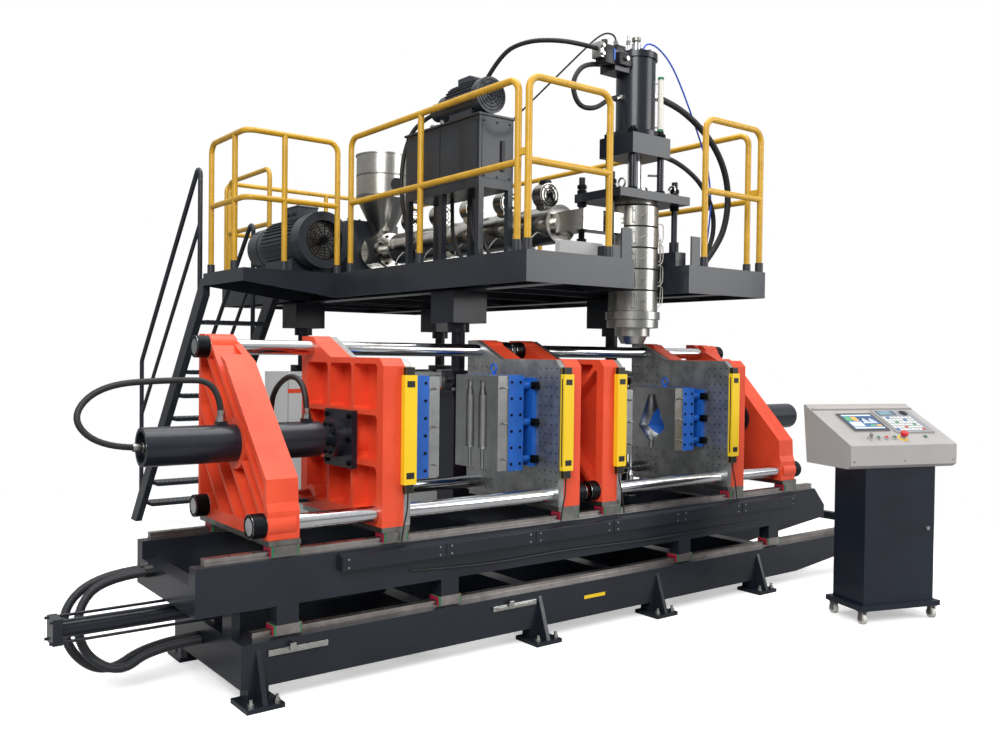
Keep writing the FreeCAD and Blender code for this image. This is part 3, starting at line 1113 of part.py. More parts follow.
frame_pieces.append(rod("ram_cap", "ram_dia + 24", "40", ("head_x", "0", f"{RAM_HIGH} - 40")))
frame_pieces.append(box("valve_block", ("head_x - 250", "head_x - 110"), ("-60", "80"),
                        (f"{RAM_HIGH} - 150", f"{RAM_HIGH} - 20")))
node("head_frame", cut("head_frame_solid", fuse("head_frame_all", frame_pieces), [
    rod("plate_bore", "ram_bore + 4", "120", ("head_x", "0", f"{PLATE_LOW} - 20")),
    rod("yoke_bore", "90.1", "yoke_high + 80", ("head_x", "0", f"{YOKE_LOW} - 20")),
    rod("ram_room", "200", "ram_long - 90", ("head_x", "0", f"{RAM_LOW} + 45")),
    rod("stem_bore", "60.1", "100", ("head_x", "0", f"{RAM_HIGH} - 60"))]))
PISTON_LOW = "(head_over + yoke_rise + yoke_high + 170 + ram_travel)"
PLUNGER_LOW = "(head_over - 99 - ram_travel)"
PLUNGER_TOP = "(head_over + 271 - ram_travel)"
node("head_ram", cut("ram_solid", fuse("ram_union", [
    rod("ram_piston", "199.9", "50", ("head_x", "0", PISTON_LOW)),
    rod("ram_rod", "90", f"{PISTON_LOW} + 1 - {PLUNGER_TOP} + 1", ("head_x", "0", f"{PLUNGER_TOP} - 1")),
    rod("ram_plunger", "ram_bore - 0.2", "370", ("head_x", "0", PLUNGER_LOW)),
    rod("ram_stem", "60", f"{RAM_HIGH} + 79 - {PISTON_LOW} - 49", ("head_x", "0", f"{PISTON_LOW} + 49"))]), [
    rod("core_bore", "36.1", f"{RAM_HIGH} + 120 - {PLUNGER_LOW} + 11",
        ("head_x", "0", f"{PLUNGER_LOW} - 11"))]))
node("die_pin", fuse("die_pin_solid", [
    rod("pin_mandrel", "36", f"{RAM_HIGH} + 100 - {DIE_LOW} - 20", ("head_x", "0", f"{DIE_LOW} + 20")),
    rod("pin_nut", "58", "22", ("head_x", "0", f"{RAM_HIGH} + 95.3")),
    cone("pin_flare", "90", "40", "60", ("head_x", "0", f"{DIE_LOW} - 4"))]))

# ---------------------------------------------------------------- electrical cabinet
node("rear_cabinet", fuse("rear_cabinet_solid", [
    box("cabinet_body", ("-850", "550"), ("1900", "2300"), ("100", "1450")),
    box("cabinet_plinth", ("-840", "540"), ("1920", "2290"), ("0", "101"))]))

# ---------------------------------------------------------------- operator desk
DESK_PLACE = FreeCAD.Placement(VECTOR(1395, -1321, 0), FreeCAD.Rotation(VECTOR(0, 0, 1), -18.8))


def desk_node(name, obj):
    """Set a piece of the operator desk down in its place beside the machine."""
    obj.Placement = DESK_PLACE
    return node(name, obj)


desk_node("desk_cabinet", fuse("desk_cabinet_solid", [
    box("desk_body", ("0", "520"), ("0", "280"), ("112", "940")),
    box("desk_base", ("-35", "555"), ("-25", "305"), ("82", "113"))]))
castors = []
for index, (x, y) in enumerate(((0, 10), (520, 10), (0, 270), (520, 270))):
    castors.append(fuse(f"castor_{index}", [
        rod(f"castor_wheel_{index}", "62", "24", (f"{x} - 12", str(y), "31"), "x"),
        box(f"castor_fork_a_{index}", (f"{x} - 20", f"{x} - 11"), (f"{y} - 14", f"{y} + 14"),
            ("25", "76")),
        box(f"castor_fork_b_{index}", (f"{x} + 11", f"{x} + 20"), (f"{y} - 14", f"{y} + 14"),
            ("25", "76")),
        box(f"castor_top_{index}", (f"{x} - 24", f"{x} + 24"), (f"{y} - 24", f"{y} + 24"),
            ("75", "82"))]))
desk_node("desk_castors", group("castor_set", castors))
desk_profile = [("-30", "960"), ("-30", "1080"), ("395", "1292"), ("408", "1305"), ("425", "1300"),
                ("385", "940"), ("0", "940")]
desk_case = [prism("desk_case_solid", "yz", "-135", "790", [desk_profile])]
SLOPE = math.atan2(212, 425)


def on_slope(along, lift):
    """Give depth and height of a spot on the desk's slope, a distance up it and off it."""
    return (-30 + along * math.cos(SLOPE) - lift * math.sin(SLOPE),
            1080 + along * math.sin(SLOPE) + lift * math.cos(SLOPE))


def panel(name, left, right, low, high, thick, sunk=-2):
    """Make a flat panel that lies on the desk's slope."""
    corners = [on_slope(low, sunk), on_slope(high, sunk), on_slope(high, thick), on_slope(low, thick)]
    return prism(name, "yz", str(left), str(right - left), [[(f"{y}", f"{z}") for y, z in corners]])


def button(name, across, along, diameter, low, high):
    """Make a round button that stands square on the desk's slope."""
    first, last = on_slope(along, low), on_slope(along, high)
    return strut(name, str(diameter), (str(across), *map(str, first)),
                 (str(across), *map(str, last)))


desk_case += [panel("touch_screen", 5, 270, 160, 365, 8), panel("keypad", 300, 590, 130, 400, 12),
              panel("desk_rim", -125, 645, 425, 440, 10)]
BUTTON_LINE = 75
for index, across in enumerate((115, 175, 235)):
    desk_case.append(button(f"push_button_{index}", across, BUTTON_LINE, 24, -5, 14))
desk_case.append(button("stop_socket", 300, BUTTON_LINE, 34, -5, 16))
desk_case.append(button("key_socket", 55, BUTTON_LINE, 28, -5, 14))
desk_holes = [button("stop_hole", 300, BUTTON_LINE, 16.2, -60, 40),
              button("key_hole", 55, BUTTON_LINE, 12.2, -40, 40)]
desk_node("desk_case", cut("desk_case_all", fuse("desk_case_union", desk_case), desk_holes))
desk_node("stop_button", fuse("stop_button_solid", [
    button("stop_stem", 300, BUTTON_LINE, 16, -45, 30),
    button("stop_cap", 300, BUTTON_LINE, 46, 26, 44)]))
desk_node("key_switch", fuse("key_switch_solid", [
    button("key_core", 55, BUTTON_LINE, 12, -25, 16),
    panel("key_bow", 52, 58, BUTTON_LINE - 14, BUTTON_LINE + 14, 40, 15)]))


def hose(name, points, diameter, limp=False):
    """Make a hose of straight runs with tangent arcs between them, and check its volume."""
    spots = [VECTOR(*[number(value) for value in point]) for point in points]
    lengths = [a.distanceToPoint(b) for a, b in zip(spots, spots[1:])]
    edges = []
    start = spots[0]
    for index in range(1, len(spots) - 1):
        before = (spots[index - 1] - spots[index]).normalize()
        after = (spots[index + 1] - spots[index]).normalize()
        turn = math.pi - before.getAngle(after)
        shorter = min(lengths[index - 1], lengths[index])
        back = 0.45 * shorter
        radius = back / math.tan(turn / 2)
        print(f"{name} bend {index}: turn {math.degrees(turn):.0f}, radius {radius:.0f}")
        if radius < (3 if limp else 5) * diameter:
            print(f"{name} bend {index} is tight")
        leave = spots[index] + before * back
        meet = spots[index] + after * back
        across = (before + after).normalize()
        centre = spots[index] + across * (radius / math.cos(turn / 2))
        edges.append(Part.LineSegment(start, leave).toShape())
        edges.append(Part.Arc(leave, centre - across * radius, meet).toShape())
        start = meet
    edges.append(Part.LineSegment(start, spots[-1]).toShape())
    path = Part.Wire(edges)
    ring = Part.Wire(Part.Circle(spots[0], spots[1] - spots[0], diameter / 2).toShape())
    solid = path.makePipeShell([ring], True, False, 1)
    wanted = path.Length * math.pi * diameter ** 2 / 4
    print(f"{name}: length {path.Length:.0f}, volume {solid.Volume / wanted:.4f} of section x length")
    obj = DOC.addObject("Part::Feature", name)
    obj.Shape = solid
    return obj


# ---------------------------------------------------------------- hoses
node("left_hoses", group("left_hose_set", [
    fuse("end_hose", [
        hose("end_hose_run", [("30 - clamp_far", "0", "axis_z"), ("-2620", "0", "axis_z"),
                              ("-2760", "30", "1290"), ("-2620", "60", "1440"),
                              ("-2300", "45", "1460"), ("-2075", "0", "1455"),
                              ("-2075", "0", "axis_z + clamp_dia / 2 + 16")], 30, True),
        rod("end_fitting", "44", "60", ("30 - clamp_far - 60", "0", "axis_z"), "x"),
        rod("top_fitting", "40", "50", ("-2075", "0", "axis_z + clamp_dia / 2 + 16"))]),
    fuse("near_hose", [
        hose("near_hose_run", [("-clamp_near - 65", "0", "axis_z + clamp_dia / 2 + 16"),
                               ("-clamp_near - 65", "0", "1410"), ("-1640", "140", "1490"),
                               ("-1640", "360", "1400"), ("-1630", "430", "1270"),
                               ("-1630", "430", "1040"), ("-end_near", "430", "1040")], 30, True),
        rod("plate_fitting", "40", "30", ("-end_near", "430", "1040"), "x"),
        rod("near_fitting", "40", "50", ("-clamp_near - 65", "0",
                                         "axis_z + clamp_dia / 2 + 16"))])]))
conduits = []
for index, (y, spread) in enumerate(((170, 0), (245, 45))):
    conduits.append(hose(f"conduit_{index}", [
        ("-car_half_long", str(y), "530"), ("-2570", str(y), "530"),
        (f"{-2700 - spread}", str(y - 20), "400"), (f"{-2680 - spread}", str(y - 60), "200"),
        (f"{-2520 - spread}", str(y - 95), f"{90 - spread / 3}"),
        ("-2380", str(y - 110), "190"), ("-base_left", str(y - 110), "190")], 44, True))
node("carriage_conduits", group("conduit_set", conduits))


def finish(limit):
    """Check every object, write each node and print its size."""
    os.makedirs("parts", exist_ok=True)
    DOC.recompute()
    for obj in DOC.Objects:
        if "Invalid" in obj.State or "Error" in obj.State:
            raise RuntimeError(f"{obj.Name} is {obj.State}")
    if len(NODES) > limit:
        raise RuntimeError("too many nodes")
    whole = FreeCAD.BoundBox()
    for name, obj in NODES.items():
        shape = obj.Shape
        if shape.isNull() or not shape.isValid():
            raise RuntimeError(f"{name} has no valid shape")
        shape.exportStep(f"parts/{name}.step")
        whole.add(shape.BoundBox)
        print(f"{name}: {len(shape.Solids)} solids, {shape.Volume / 1e6:.1f} litres")
    print(f"{len(NODES)} nodes, whole box {whole}")


finish(60)
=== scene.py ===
"""Two-station shuttle blow moulding machine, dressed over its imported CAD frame."""

import logging
import math
from dataclasses import dataclass
from enum import Enum
from typing import Iterable, Sequence

import bmesh
import bpy
from mathutils import Matrix, Vector


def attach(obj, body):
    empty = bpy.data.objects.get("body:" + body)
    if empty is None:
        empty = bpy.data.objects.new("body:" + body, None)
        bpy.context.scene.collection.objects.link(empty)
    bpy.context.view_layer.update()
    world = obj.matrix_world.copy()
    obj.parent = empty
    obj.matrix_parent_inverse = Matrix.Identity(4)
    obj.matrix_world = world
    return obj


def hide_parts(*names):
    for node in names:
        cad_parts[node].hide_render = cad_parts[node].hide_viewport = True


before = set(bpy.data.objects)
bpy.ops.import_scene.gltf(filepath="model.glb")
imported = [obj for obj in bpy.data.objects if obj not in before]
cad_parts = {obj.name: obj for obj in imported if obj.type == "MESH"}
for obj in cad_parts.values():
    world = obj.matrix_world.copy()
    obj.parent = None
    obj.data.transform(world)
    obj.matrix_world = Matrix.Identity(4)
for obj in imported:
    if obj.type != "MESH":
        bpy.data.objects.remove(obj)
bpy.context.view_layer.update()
LOG = logging.getLogger("blow_moulder")
CENTRE = Vector((-0.284, -1.582, 0.0))
NOWHERE = Vector((0.0, 0.0, 0.0))
TURN = math.tau
BACK, FRONT, UP = (0, 1, 0), (0, -1, 0), (0, 0, 1)
EDGES = (-1, 1)
RAIL_Y = 0.375
DECK_TOP = 2.2055
SHARP_ANGLE = math.radians(32)
Point = Sequence[float]
Tree, Node, Socket = bpy.types.NodeTree, bpy.types.Node, bpy.types.NodeSocket


class Axis(Enum):
    """The directions a round piece can point in."""

    X = Matrix.Rotation(math.pi / 2, 4, "Y")
    Y = Matrix.Rotation(-math.pi / 2, 4, "X")
    Z = Matrix.Identity(4)


class Side(Enum):
    """The two clamp stations, with the sign of their X."""

    LEFT = -1
    RIGHT = 1


def linear(code: str) -> tuple[float, float, float, float]:
    """Turn an sRGB hex colour into linear values.

    Args:
        code: six hex digits.

    Returns:
        Red, green, blue and alpha as the shader wants them.
    """
    parts = [int(code[i:i + 2], 16) / 255 for i in (0, 2, 4)]
    return (*(c / 12.92 if c <= 0.04045 else ((c + 0.055) / 1.055) ** 2.4 for c in parts), 1.0)


def polar(radius: float, angle: float) -> tuple[float, float]:
    """Give the two coordinates of a point on a circle."""
    return radius * math.cos(angle), radius * math.sin(angle)


# ------------------------------------------------------------------ shader nodes
def add(tree: Tree, kind: str, inputs: dict | None = None, **settings) -> Node:
    """Add a node with its settings, values and links.

    Args:
        tree: the material's node tree.
        kind: the node's type, without the word that all types start with.
        inputs: socket name or number to a value or to another node's output socket.
        settings: attributes of the node.

    Returns:
        The new node.
    """
    node = tree.nodes.new(f"ShaderNode{kind}")
    for name, value in settings.items():
        setattr(node, name, value)
    for key, value in (inputs or {}).items():
        if isinstance(value, Socket):
            tree.links.new(value, node.inputs[key])
        else:
            node.inputs[key].default_value = value
    return node


def noise(tree: Tree, place: Socket, scale: float, detail: float = 2.0,
          rough: float = 0.5) -> Socket:
    """Add a noise with so many spots a metre and give its height."""
    return add(tree, "TexNoise", {"Vector": place, "Scale": scale, "Detail": detail,
                                  "Roughness": rough}).outputs["Fac"]


def spread(tree: Tree, value: Socket, low: float = 0.0, high: float = 1.0,
           first: float = 0.0, last: float = 1.0, **settings) -> Socket:
    """Carry values between low and high over to values between first and last."""
    return add(tree, "MapRange", {"Value": value, "From Min": low, "From Max": high, "To Min": first,
                                  "To Max": last}, **settings).outputs["Result"]


def blend(tree: Tree, share: Socket | float, first: Socket | tuple, last: Socket | tuple,
          **settings) -> Socket:
    """Mix two colours by a share."""
    return add(tree, "Mix", {0: share, 6: first, 7: last}, data_type="RGBA", **settings).outputs[2]


# ------------------------------------------------------------------ finishes
@dataclass(frozen=True)
class Finish:
    """A surface with a name of its own and one or two base colours."""

    name: str
    colour: str
    rough: float = 0.5
    second: str = ""

    def material(self) -> bpy.types.Material:
        """Return the material, made on first use."""
        found = bpy.data.materials.get(self.name)
        if found:
            return found
        made = bpy.data.materials.new(self.name)
        made.use_nodes = True
        shader = made.node_tree.nodes["Principled BSDF"]
        shader.inputs["Base Color"].default_value = linear(self.colour)
        shader.inputs["Roughness"].default_value = self.rough
        made.diffuse_color = linear(self.colour)
        self.shade(made.node_tree, shader, add(made.node_tree, "TexCoord").outputs["Object"])
        return made

    def shade(self, tree: Tree, shader: Node, place: Socket) -> None:
        """Wire the pattern of the surface into the shader."""

    def colours(self, tree: Tree, shader: Node, pattern: Socket, high: float) -> None:
        """Mix the two colours where a pattern rises from 0.35 to a high value."""
        mixed = blend(tree, spread(tree, pattern, 0.35, high), linear(self.colour),
                      linear(self.second or self.colour))
        tree.links.new(mixed, shader.inputs["Base Color"])

    def gloss(self, tree: Tree, shader: Node, pattern: Socket, less: float, more: float) -> None:
        """Let the roughness follow a pattern, a little less and more than its value."""
        tree.links.new(spread(tree, pattern, first=self.rough - less, last=self.rough + more),
                       shader.inputs["Roughness"])

    def bump(self, tree: Tree, shader: Node, height: Socket, depth_mm: float) -> None:
        """Raise the surface by a height pattern of a real depth in millimetres."""
        made = add(tree, "Bump", {"Height": height, "Strength": 1.0, "Distance": depth_mm / 1000})
        tree.links.new(made.outputs["Normal"], shader.inputs["Normal"])


@dataclass(frozen=True)
class Paint(Finish):
    """Sprayed machine enamel: a slight orange-peel skin, uneven film and thin dust in patches."""

    grain_mm: float = 6.0
    depth_mm: float = 0.15
    coat: float = 0.3
    patch_mm: float = 350.0

    def shade(self, tree: Tree, shader: Node, place: Socket) -> None:
        """Mix two close shades in large soft patches and add the skin of the film."""
        patch = noise(tree, place, 1000 / self.patch_mm, 5.0, 0.6)
        self.colours(tree, shader, patch, 0.7)
        self.gloss(tree, shader, patch, 0.06, 0.12)
        self.bump(tree, shader, noise(tree, place, 1000 / self.grain_mm), self.depth_mm)
        for socket, value in (("Specular IOR Level", 0.32), ("Coat Weight", self.coat),
                              ("Coat Roughness", 0.12)):
            shader.inputs[socket].default_value = value


@dataclass(frozen=True)
class Ground(Finish):
    """Ground or turned metal: fine tool marks that run one way, with faint stains."""

    marks_mm: tuple[float, float, float] = (60.0, 1.2, 1.2)
    depth_mm: float = 0.02
    metallic: float = 1.0
    stain_mm: float = 120.0

    def shade(self, tree: Tree, shader: Node, place: Socket) -> None:
        """Stretch a noise along the tool's path for the marks, and stain it softly."""
        stretched = add(tree, "Mapping", {"Vector": place,
                                          "Scale": [1000 / value for value in self.marks_mm]})
        marks = noise(tree, stretched.outputs["Vector"], 1.0, 3.0)
        self.colours(tree, shader, noise(tree, place, 1000 / self.stain_mm, 6.0, 0.65), 0.68)
        self.gloss(tree, shader, marks, 0.08, 0.14)
        self.bump(tree, shader, marks, self.depth_mm)
        shader.inputs["Metallic"].default_value = self.metallic


@dataclass(frozen=True)
class Moulded(Finish):
    """Moulded plastic or rubber: an even colour over a fine spark-eroded grain."""

    grain_mm: float = 1.5
    depth_mm: float = 0.05
    glow: float = 0.0

    def shade(self, tree: Tree, shader: Node, place: Socket) -> None:
        """Add the grain and a slight change of gloss."""
        grain = noise(tree, place, 1000 / self.grain_mm)
        self.gloss(tree, shader, grain, 0.05, 0.08)
        self.bump(tree, shader, grain, self.depth_mm)
        if self.glow:
            shader.inputs["Emission Color"].default_value = linear(self.colour)
            shader.inputs["Emission Strength"].default_value = self.glow


@dataclass(frozen=True)
class Split(Finish):
    """Two finishes on one piece that meet at a plane across it, as at a joint of two blocks."""

    along: int = 0
    limit: float = 0.0
    metal: tuple[bool, bool] = (False, True)
    rough_second: float = 0.35

    def shade(self, tree: Tree, shader: Node, place: Socket) -> None:
        """Pick colour, metal and gloss by which side of the plane a point lies on."""
        parts = add(tree, "SeparateXYZ", {"Vector": place})
        side = add(tree, "Math", {0: parts.outputs[self.along], 1: self.limit},
                   operation="GREATER_THAN").outputs[0]
        dim = spread(tree, noise(tree, place, 9.0, 6.0, 0.65), 0.3, 0.75, 1.0, 0.72)
        halves = blend(tree, side, linear(self.colour), linear(self.second))
        tree.links.new(blend(tree, 1.0, halves, dim, blend_type="MULTIPLY"), shader.inputs["Base Color"])
        for socket, (first, last) in (("Metallic", map(float, self.metal)),
                                      ("Roughness", (self.rough, self.rough_second))):
            tree.links.new(spread(tree, side, first=first, last=last), shader.inputs[socket])
        self.bump(tree, shader, noise(tree, place, 600.0), 0.05)


# Enamels: blue-black satin frames, a lighter platform, and the hot orange that the eye meets first.
BLACK = Paint("machine_black_enamel", "191D25", 0.28, "20252E", coat=0.22)
PLATFORM = Paint("platform_grey_enamel", "23272E", 0.3, "2C3139", coat=0.25)
ORANGE = Paint("orange_cast_enamel", "EC5534", 0.42, "DB4729", 9.0, 0.35, 0.12, 260.0)
MOTOR = Paint("motor_grey_enamel", "2C3138", 0.4, "363C44", 6.0, 0.3, 0.3)
# Signal colours: warm railings, the flat clear yellow of the curtains, the strong blue of mould covers.
YELLOW = Paint("railing_yellow_enamel", "DBA92B", 0.35, "E3B433", 5.0, 0.1, 0.4)
CURTAIN = Paint("curtain_yellow_coat", "F7CF25", 0.4, "F2C81E", 2.0, 0.05, 0.2)
BLUE = Paint("mould_blue_enamel", "1E66C8", 0.38, "1A5CB8", 4.0, 0.1, 0.3, 120.0)
# Powder coats, nearly matt: the desk's warm grey, its navy cabinet and the pale cabinet behind.
DESK = Paint("desk_texture_coat", "AFACAA", 0.5, "A8A5A3", 2.5, 0.2, 0.05)
CABINET = Paint("cabinet_blue_coat", "151B27", 0.38, "1A2230", 2.5, 0.12, 0.15)
GREY_CABINET = Paint("cabinet_grey_coat", "C9CBCA", 0.45, "BFC2C1", 2.5, 0.1, 0.1)
# Steels: mirror-like bars, warm ground rails, the cloudy scraped faces of the platens and plain turned parts.
CHROME = Ground("hard_chrome_bar", "D9DADC", 0.1, "C9CBCE", (200.0, 3.0, 3.0), 0.004)
RAIL = Ground("ground_rail_steel", "B3AEAB", 0.3, "8F8987", (400.0, 2.0, 2.0), 0.01)
SCRAPED = Ground("scraped_platen_steel", "B4B5B3", 0.38, "878A8B", (14.0, 40.0, 18.0), 0.05, 0.85, 90.0)
STEEL = Ground("turned_steel", "9A9995", 0.36, "74736F", (3.0, 3.0, 20.0), 0.02)
BLACK_STEEL = Ground("blackened_screw_steel", "26282B", 0.42, "1B1C1F", (3.0, 3.0, 3.0), 0.01)
BRIGHT = Ground("zinc_fitting", "C9C9C6", 0.25, "A5A5A1", (3.0, 3.0, 3.0), 0.01)
# Sheets: the hopper's brushed shine and the long soft streaks of the heater covers.
STAINLESS = Ground("brushed_stainless_sheet", "C4C3BE", 0.26, "AFAEA8", (2.0, 2.0, 120.0), 0.01)
COVER = Ground("polished_heater_cover", "CFCDC8", 0.16, "A8A6A0", (2.0, 160.0, 2.0), 0.01)
# Plastics and rubber: dull hoses, half-shiny conduits and caps, and the small spots of green, red and blue.
CAST_WHEEL = Moulded("castor_nylon", "D8D7CF", 0.35)
RUBBER = Moulded("hose_rubber", "17181A", 0.55, grain_mm=2.0, depth_mm=0.08)
CONDUIT = Moulded("conduit_nylon", "2E3034", 0.38, grain_mm=2.0, depth_mm=0.03)
BLACK_PLASTIC = Moulded("black_polyamide", "141518", 0.4)
RED = Moulded("stop_red_cap", "D0202A", 0.3)
GREEN = Moulded("seal_green", "1E7A4E", 0.45)
WINE = Moulded("wiper_wine_red", "A01F3C", 0.45)
AIR_BLUE = Moulded("air_hose_blue", "1F55C8", 0.35)
WHITE_WIRE = Moulded("glass_silk_sleeve", "D9D6CD", 0.6)
PIN_GREEN = Moulded("button_green", "1F6B47", 0.3)
IVORY = Moulded("transducer_ivory", "E4E1D6", 0.35)
# Painted shade in holes, slits, band gaps and vents, and the own dark colour of seams, lens strips and sight
# glasses, with no shine.
SHADE_AND_DARK = Moulded("dark_recess", "0D0E10", 0.7)


# ------------------------------------------------------------------ building pieces
def carry(name: str, data: bpy.types.ID, finish: Finish, body: str) -> bpy.types.Object:
    """Make a piece of a mesh or curve, give it its finish and let it ride on a body.

    Args:
        name: the piece's name.
        data: its mesh or curve.
        finish: its surface.
        body: the CAD body that carries it.

    Returns:
        The piece.
    """
    piece = bpy.data.objects.new(name, data)
    bpy.context.collection.objects.link(piece)
    data.materials.append(finish.material())
    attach(piece, body)
    return piece


class Workpiece:
    """A mesh that is built up from turned and milled shapes.

    Its points are in metres from an origin, the middle of the carriage where none is named. A
    flipped workpiece counts X the other way.
    """

    def __init__(self, origin: Vector = CENTRE, flip: int = 1) -> None:
        self.mesh = bmesh.new()
        self.origin, self.flip = origin, flip

    def way(self, out: Point) -> Vector:
        """Turn a direction of the workpiece into one of the part's frame."""
        return Vector((self.flip * out[0], out[1], out[2]))

    def at(self, point: Point) -> Vector:
        """Turn a point of the workpiece into one of the part's frame."""
        return self.way(point) + self.origin

    def _place(self, new: Iterable, turn: Matrix, spot: Vector) -> None:
        """Turn and move new vertices."""
        verts = [item for item in new if isinstance(item, bmesh.types.BMVert)]
        bmesh.ops.transform(self.mesh, matrix=Matrix.Translation(spot) @ turn, verts=verts)

    def block(self, near: Point, far: Point, bevel: float = 0.0, turn: Matrix | None = None) -> "Workpiece":
        """Add a milled block between two corners.

        Args:
            near: one corner.
            far: the corner across from it.
            bevel: width of the eased edges.
            turn: a rotation about the block's middle.

        Returns:
            The workpiece, for chaining.
        """
        ends = self.at(near), self.at(far)
        low, high = Vector(map(min, *ends)), Vector(map(max, *ends))
        made = bmesh.ops.create_cube(self.mesh, size=1.0)["verts"]
        bmesh.ops.scale(self.mesh, vec=high - low, verts=made)
        if bevel:
            edges = list({edge for vert in made for edge in vert.link_edges})
            made = bmesh.ops.bevel(self.mesh, geom=edges, offset=bevel, affect="EDGES", segments=2,
                                   profile=0.5, material=-1)["verts"] + [
                v for v in made if v.is_valid]
        self._place(set(made), turn or Matrix.Identity(4), (low + high) / 2)
        return self

    def slab(self, middle: Point, half: Point, bevel: float = 0.0, turn: Matrix | None = None) -> "Workpiece":
        """Add a block about its middle, given half its size."""
        middle, half = Vector(middle), Vector(half)
        return self.block(middle - half, middle + half, bevel, turn)

    def bar(self, start: Point, stop: Point, radius: float, sides: int = 24) -> "Workpiece":
        """Add a round bar or a hexagon.

        Args:
            start: the middle of its first end.
            stop: the middle of its last end.
            radius: its radius, to the corners where it has few sides.
            sides: how many sides it has.

        Returns:
            The workpiece, for chaining.
        """
        start, stop = self.at(start), self.at(stop)
        run = stop - start
        made = bmesh.ops.create_cone(self.mesh, cap_ends=True, segments=sides, radius1=radius,
                                     radius2=radius, depth=run.length)["verts"]
        self._place(made, run.to_track_quat("Z", "Y").to_matrix().to_4x4(), (start + stop) / 2)
        return self

    def stub(self, start: Point, run: Point, radius: float, sides: int = 24) -> "Workpiece":
        """Add a bar from a point along a run."""
        return self.bar(start, Vector(start) + Vector(run), radius, sides)

    def lathe(self, profile: Sequence[tuple[float, float]], spot: Point, axis: Axis = Axis.Z,
              steps: int = 40) -> "Workpiece":
        """Turn a closed profile about an axis.

        Args:
            profile: its (radius, height) points.
            spot: where height nought lies.
            axis: the way that heights run.
            steps: how many flats go round.

        Returns:
            The workpiece, for chaining.
        """
        before = set(self.mesh.verts)
        verts = [self.mesh.verts.new((radius, 0.0, height)) for radius, height in profile]
        edges = [self.mesh.edges.new(pair) for pair in zip(verts, verts[1:] + verts[:1])]
        bmesh.ops.spin(self.mesh, geom=verts + edges, cent=(0, 0, 0), axis=UP, angle=TURN, steps=steps,
                       use_merge=True, use_duplicate=False)
        turn = axis.value if self.flip > 0 else axis.value.inverted()
        self._place([vert for vert in self.mesh.verts if vert not in before], turn, self.at(spot))
        return self

    def torus(self, spot: Point, axis: Axis, ring: float, wire: float) -> "Workpiece":
        """Add an eye or a ring of round wire, given the radii of its middle line and its wire."""
        arc = [polar(wire, TURN * k / 10) for k in range(10)]
        return self.lathe([(ring + across, along) for across, along in arc], spot, axis, 28)

    def bolt(self, spot: Point, out: Point, radius: float = 0.009, height: float = 0.009) -> "Workpiece":
        """Add a socket-head screw that stands out of a face."""
        spot, out = Vector(spot), Vector(out)
        self.bar(spot - out * 0.002, spot + out * height, radius, 12)
        return self.bar(spot + out * (height - 0.0005), spot + out * (height + 0.0008), radius * 0.55, 6)

    def bolt_ring(self, middle: Point, out: Point, ring: float, count: int, radius: float, height: float,
                  shift: float = 0.5) -> "Workpiece":
        """Add a ring of screws.

        Args:
            middle: the middle of the ring.
            out: the way the screws stand out, along one axis.
            ring: radius of the ring.
            count: how many screws it has.
            radius: a screw head's radius.
            height: a screw head's height.
            shift: the first screw's place, as a share of the step between two.

        Returns:
            The workpiece, for chaining.
        """
        first, second = (axis for axis in range(3) if not out[axis])
        for k in range(count):
            spot = Vector(middle)
            across, along = polar(ring, TURN * (k + shift) / count)
            spot[first] += across
            spot[second] += along
            self.bolt(spot, out, radius, height)
        return self

    def spokes(self, middle: Point, reach: float, angles: Iterable[float], radius: float) -> "Workpiece":
        """Add thin bars through a point, upright across the machine, at several angles."""
        for angle in angles:
            across, along = polar(reach, angle)
            run = Vector((across, 0, along))
            self.bar(Vector(middle) - run, Vector(middle) + run, radius, 8)
        return self

    def fins(self, middle: Point, ring: float, count: int, half: Point,
             bare: Sequence[tuple[float, float]]) -> "Workpiece":
        """Add cooling fins round an axis along Y.

        Args:
            middle: the middle of the axis.
            ring: radius of the fins' middles.
            count: how many fins a full round has.
            half: half the size of one fin.
            bare: stretches of angle that have none.

        Returns:
            The workpiece, for chaining.
        """
        for k in range(count):
            angle = TURN * (k + 0.5) / count
            if not any(low < angle < high for low, high in bare):
                across, along = polar(ring, angle)
                self.slab(Vector(middle) + Vector((across, 0, along)), half, 0.0,
                          Matrix.Rotation(-angle, 4, "Y"))
        return self

    def finish(self, name: str, finish: Finish, body: str = "platform", smooth: bool = True,
               place: Matrix | None = None) -> bpy.types.Object:
        """Close the mesh, give it its finish and let it ride on a body.

        Args:
            name: the piece's name.
            finish: its surface.
            body: the CAD body that carries it.
            smooth: whether its curved faces are shaded smooth.
            place: the frame it was made in, where that isn't the part's.

        Returns:
            The finished object.
        """
        if place:
            bmesh.ops.transform(self.mesh, matrix=place, verts=self.mesh.verts)
        bmesh.ops.recalc_face_normals(self.mesh, faces=self.mesh.faces)
        data = bpy.data.meshes.new(name)
        self.mesh.to_mesh(data)
        self.mesh.free()
        if smooth:
            data.polygons.foreach_set("use_smooth", [True] * len(data.polygons))
            data.set_sharp_from_angle(angle=SHARP_ANGLE)
        LOG.info("%s: %d faces on %s", name, len(data.polygons), body)
        return carry(name, data, finish, body)


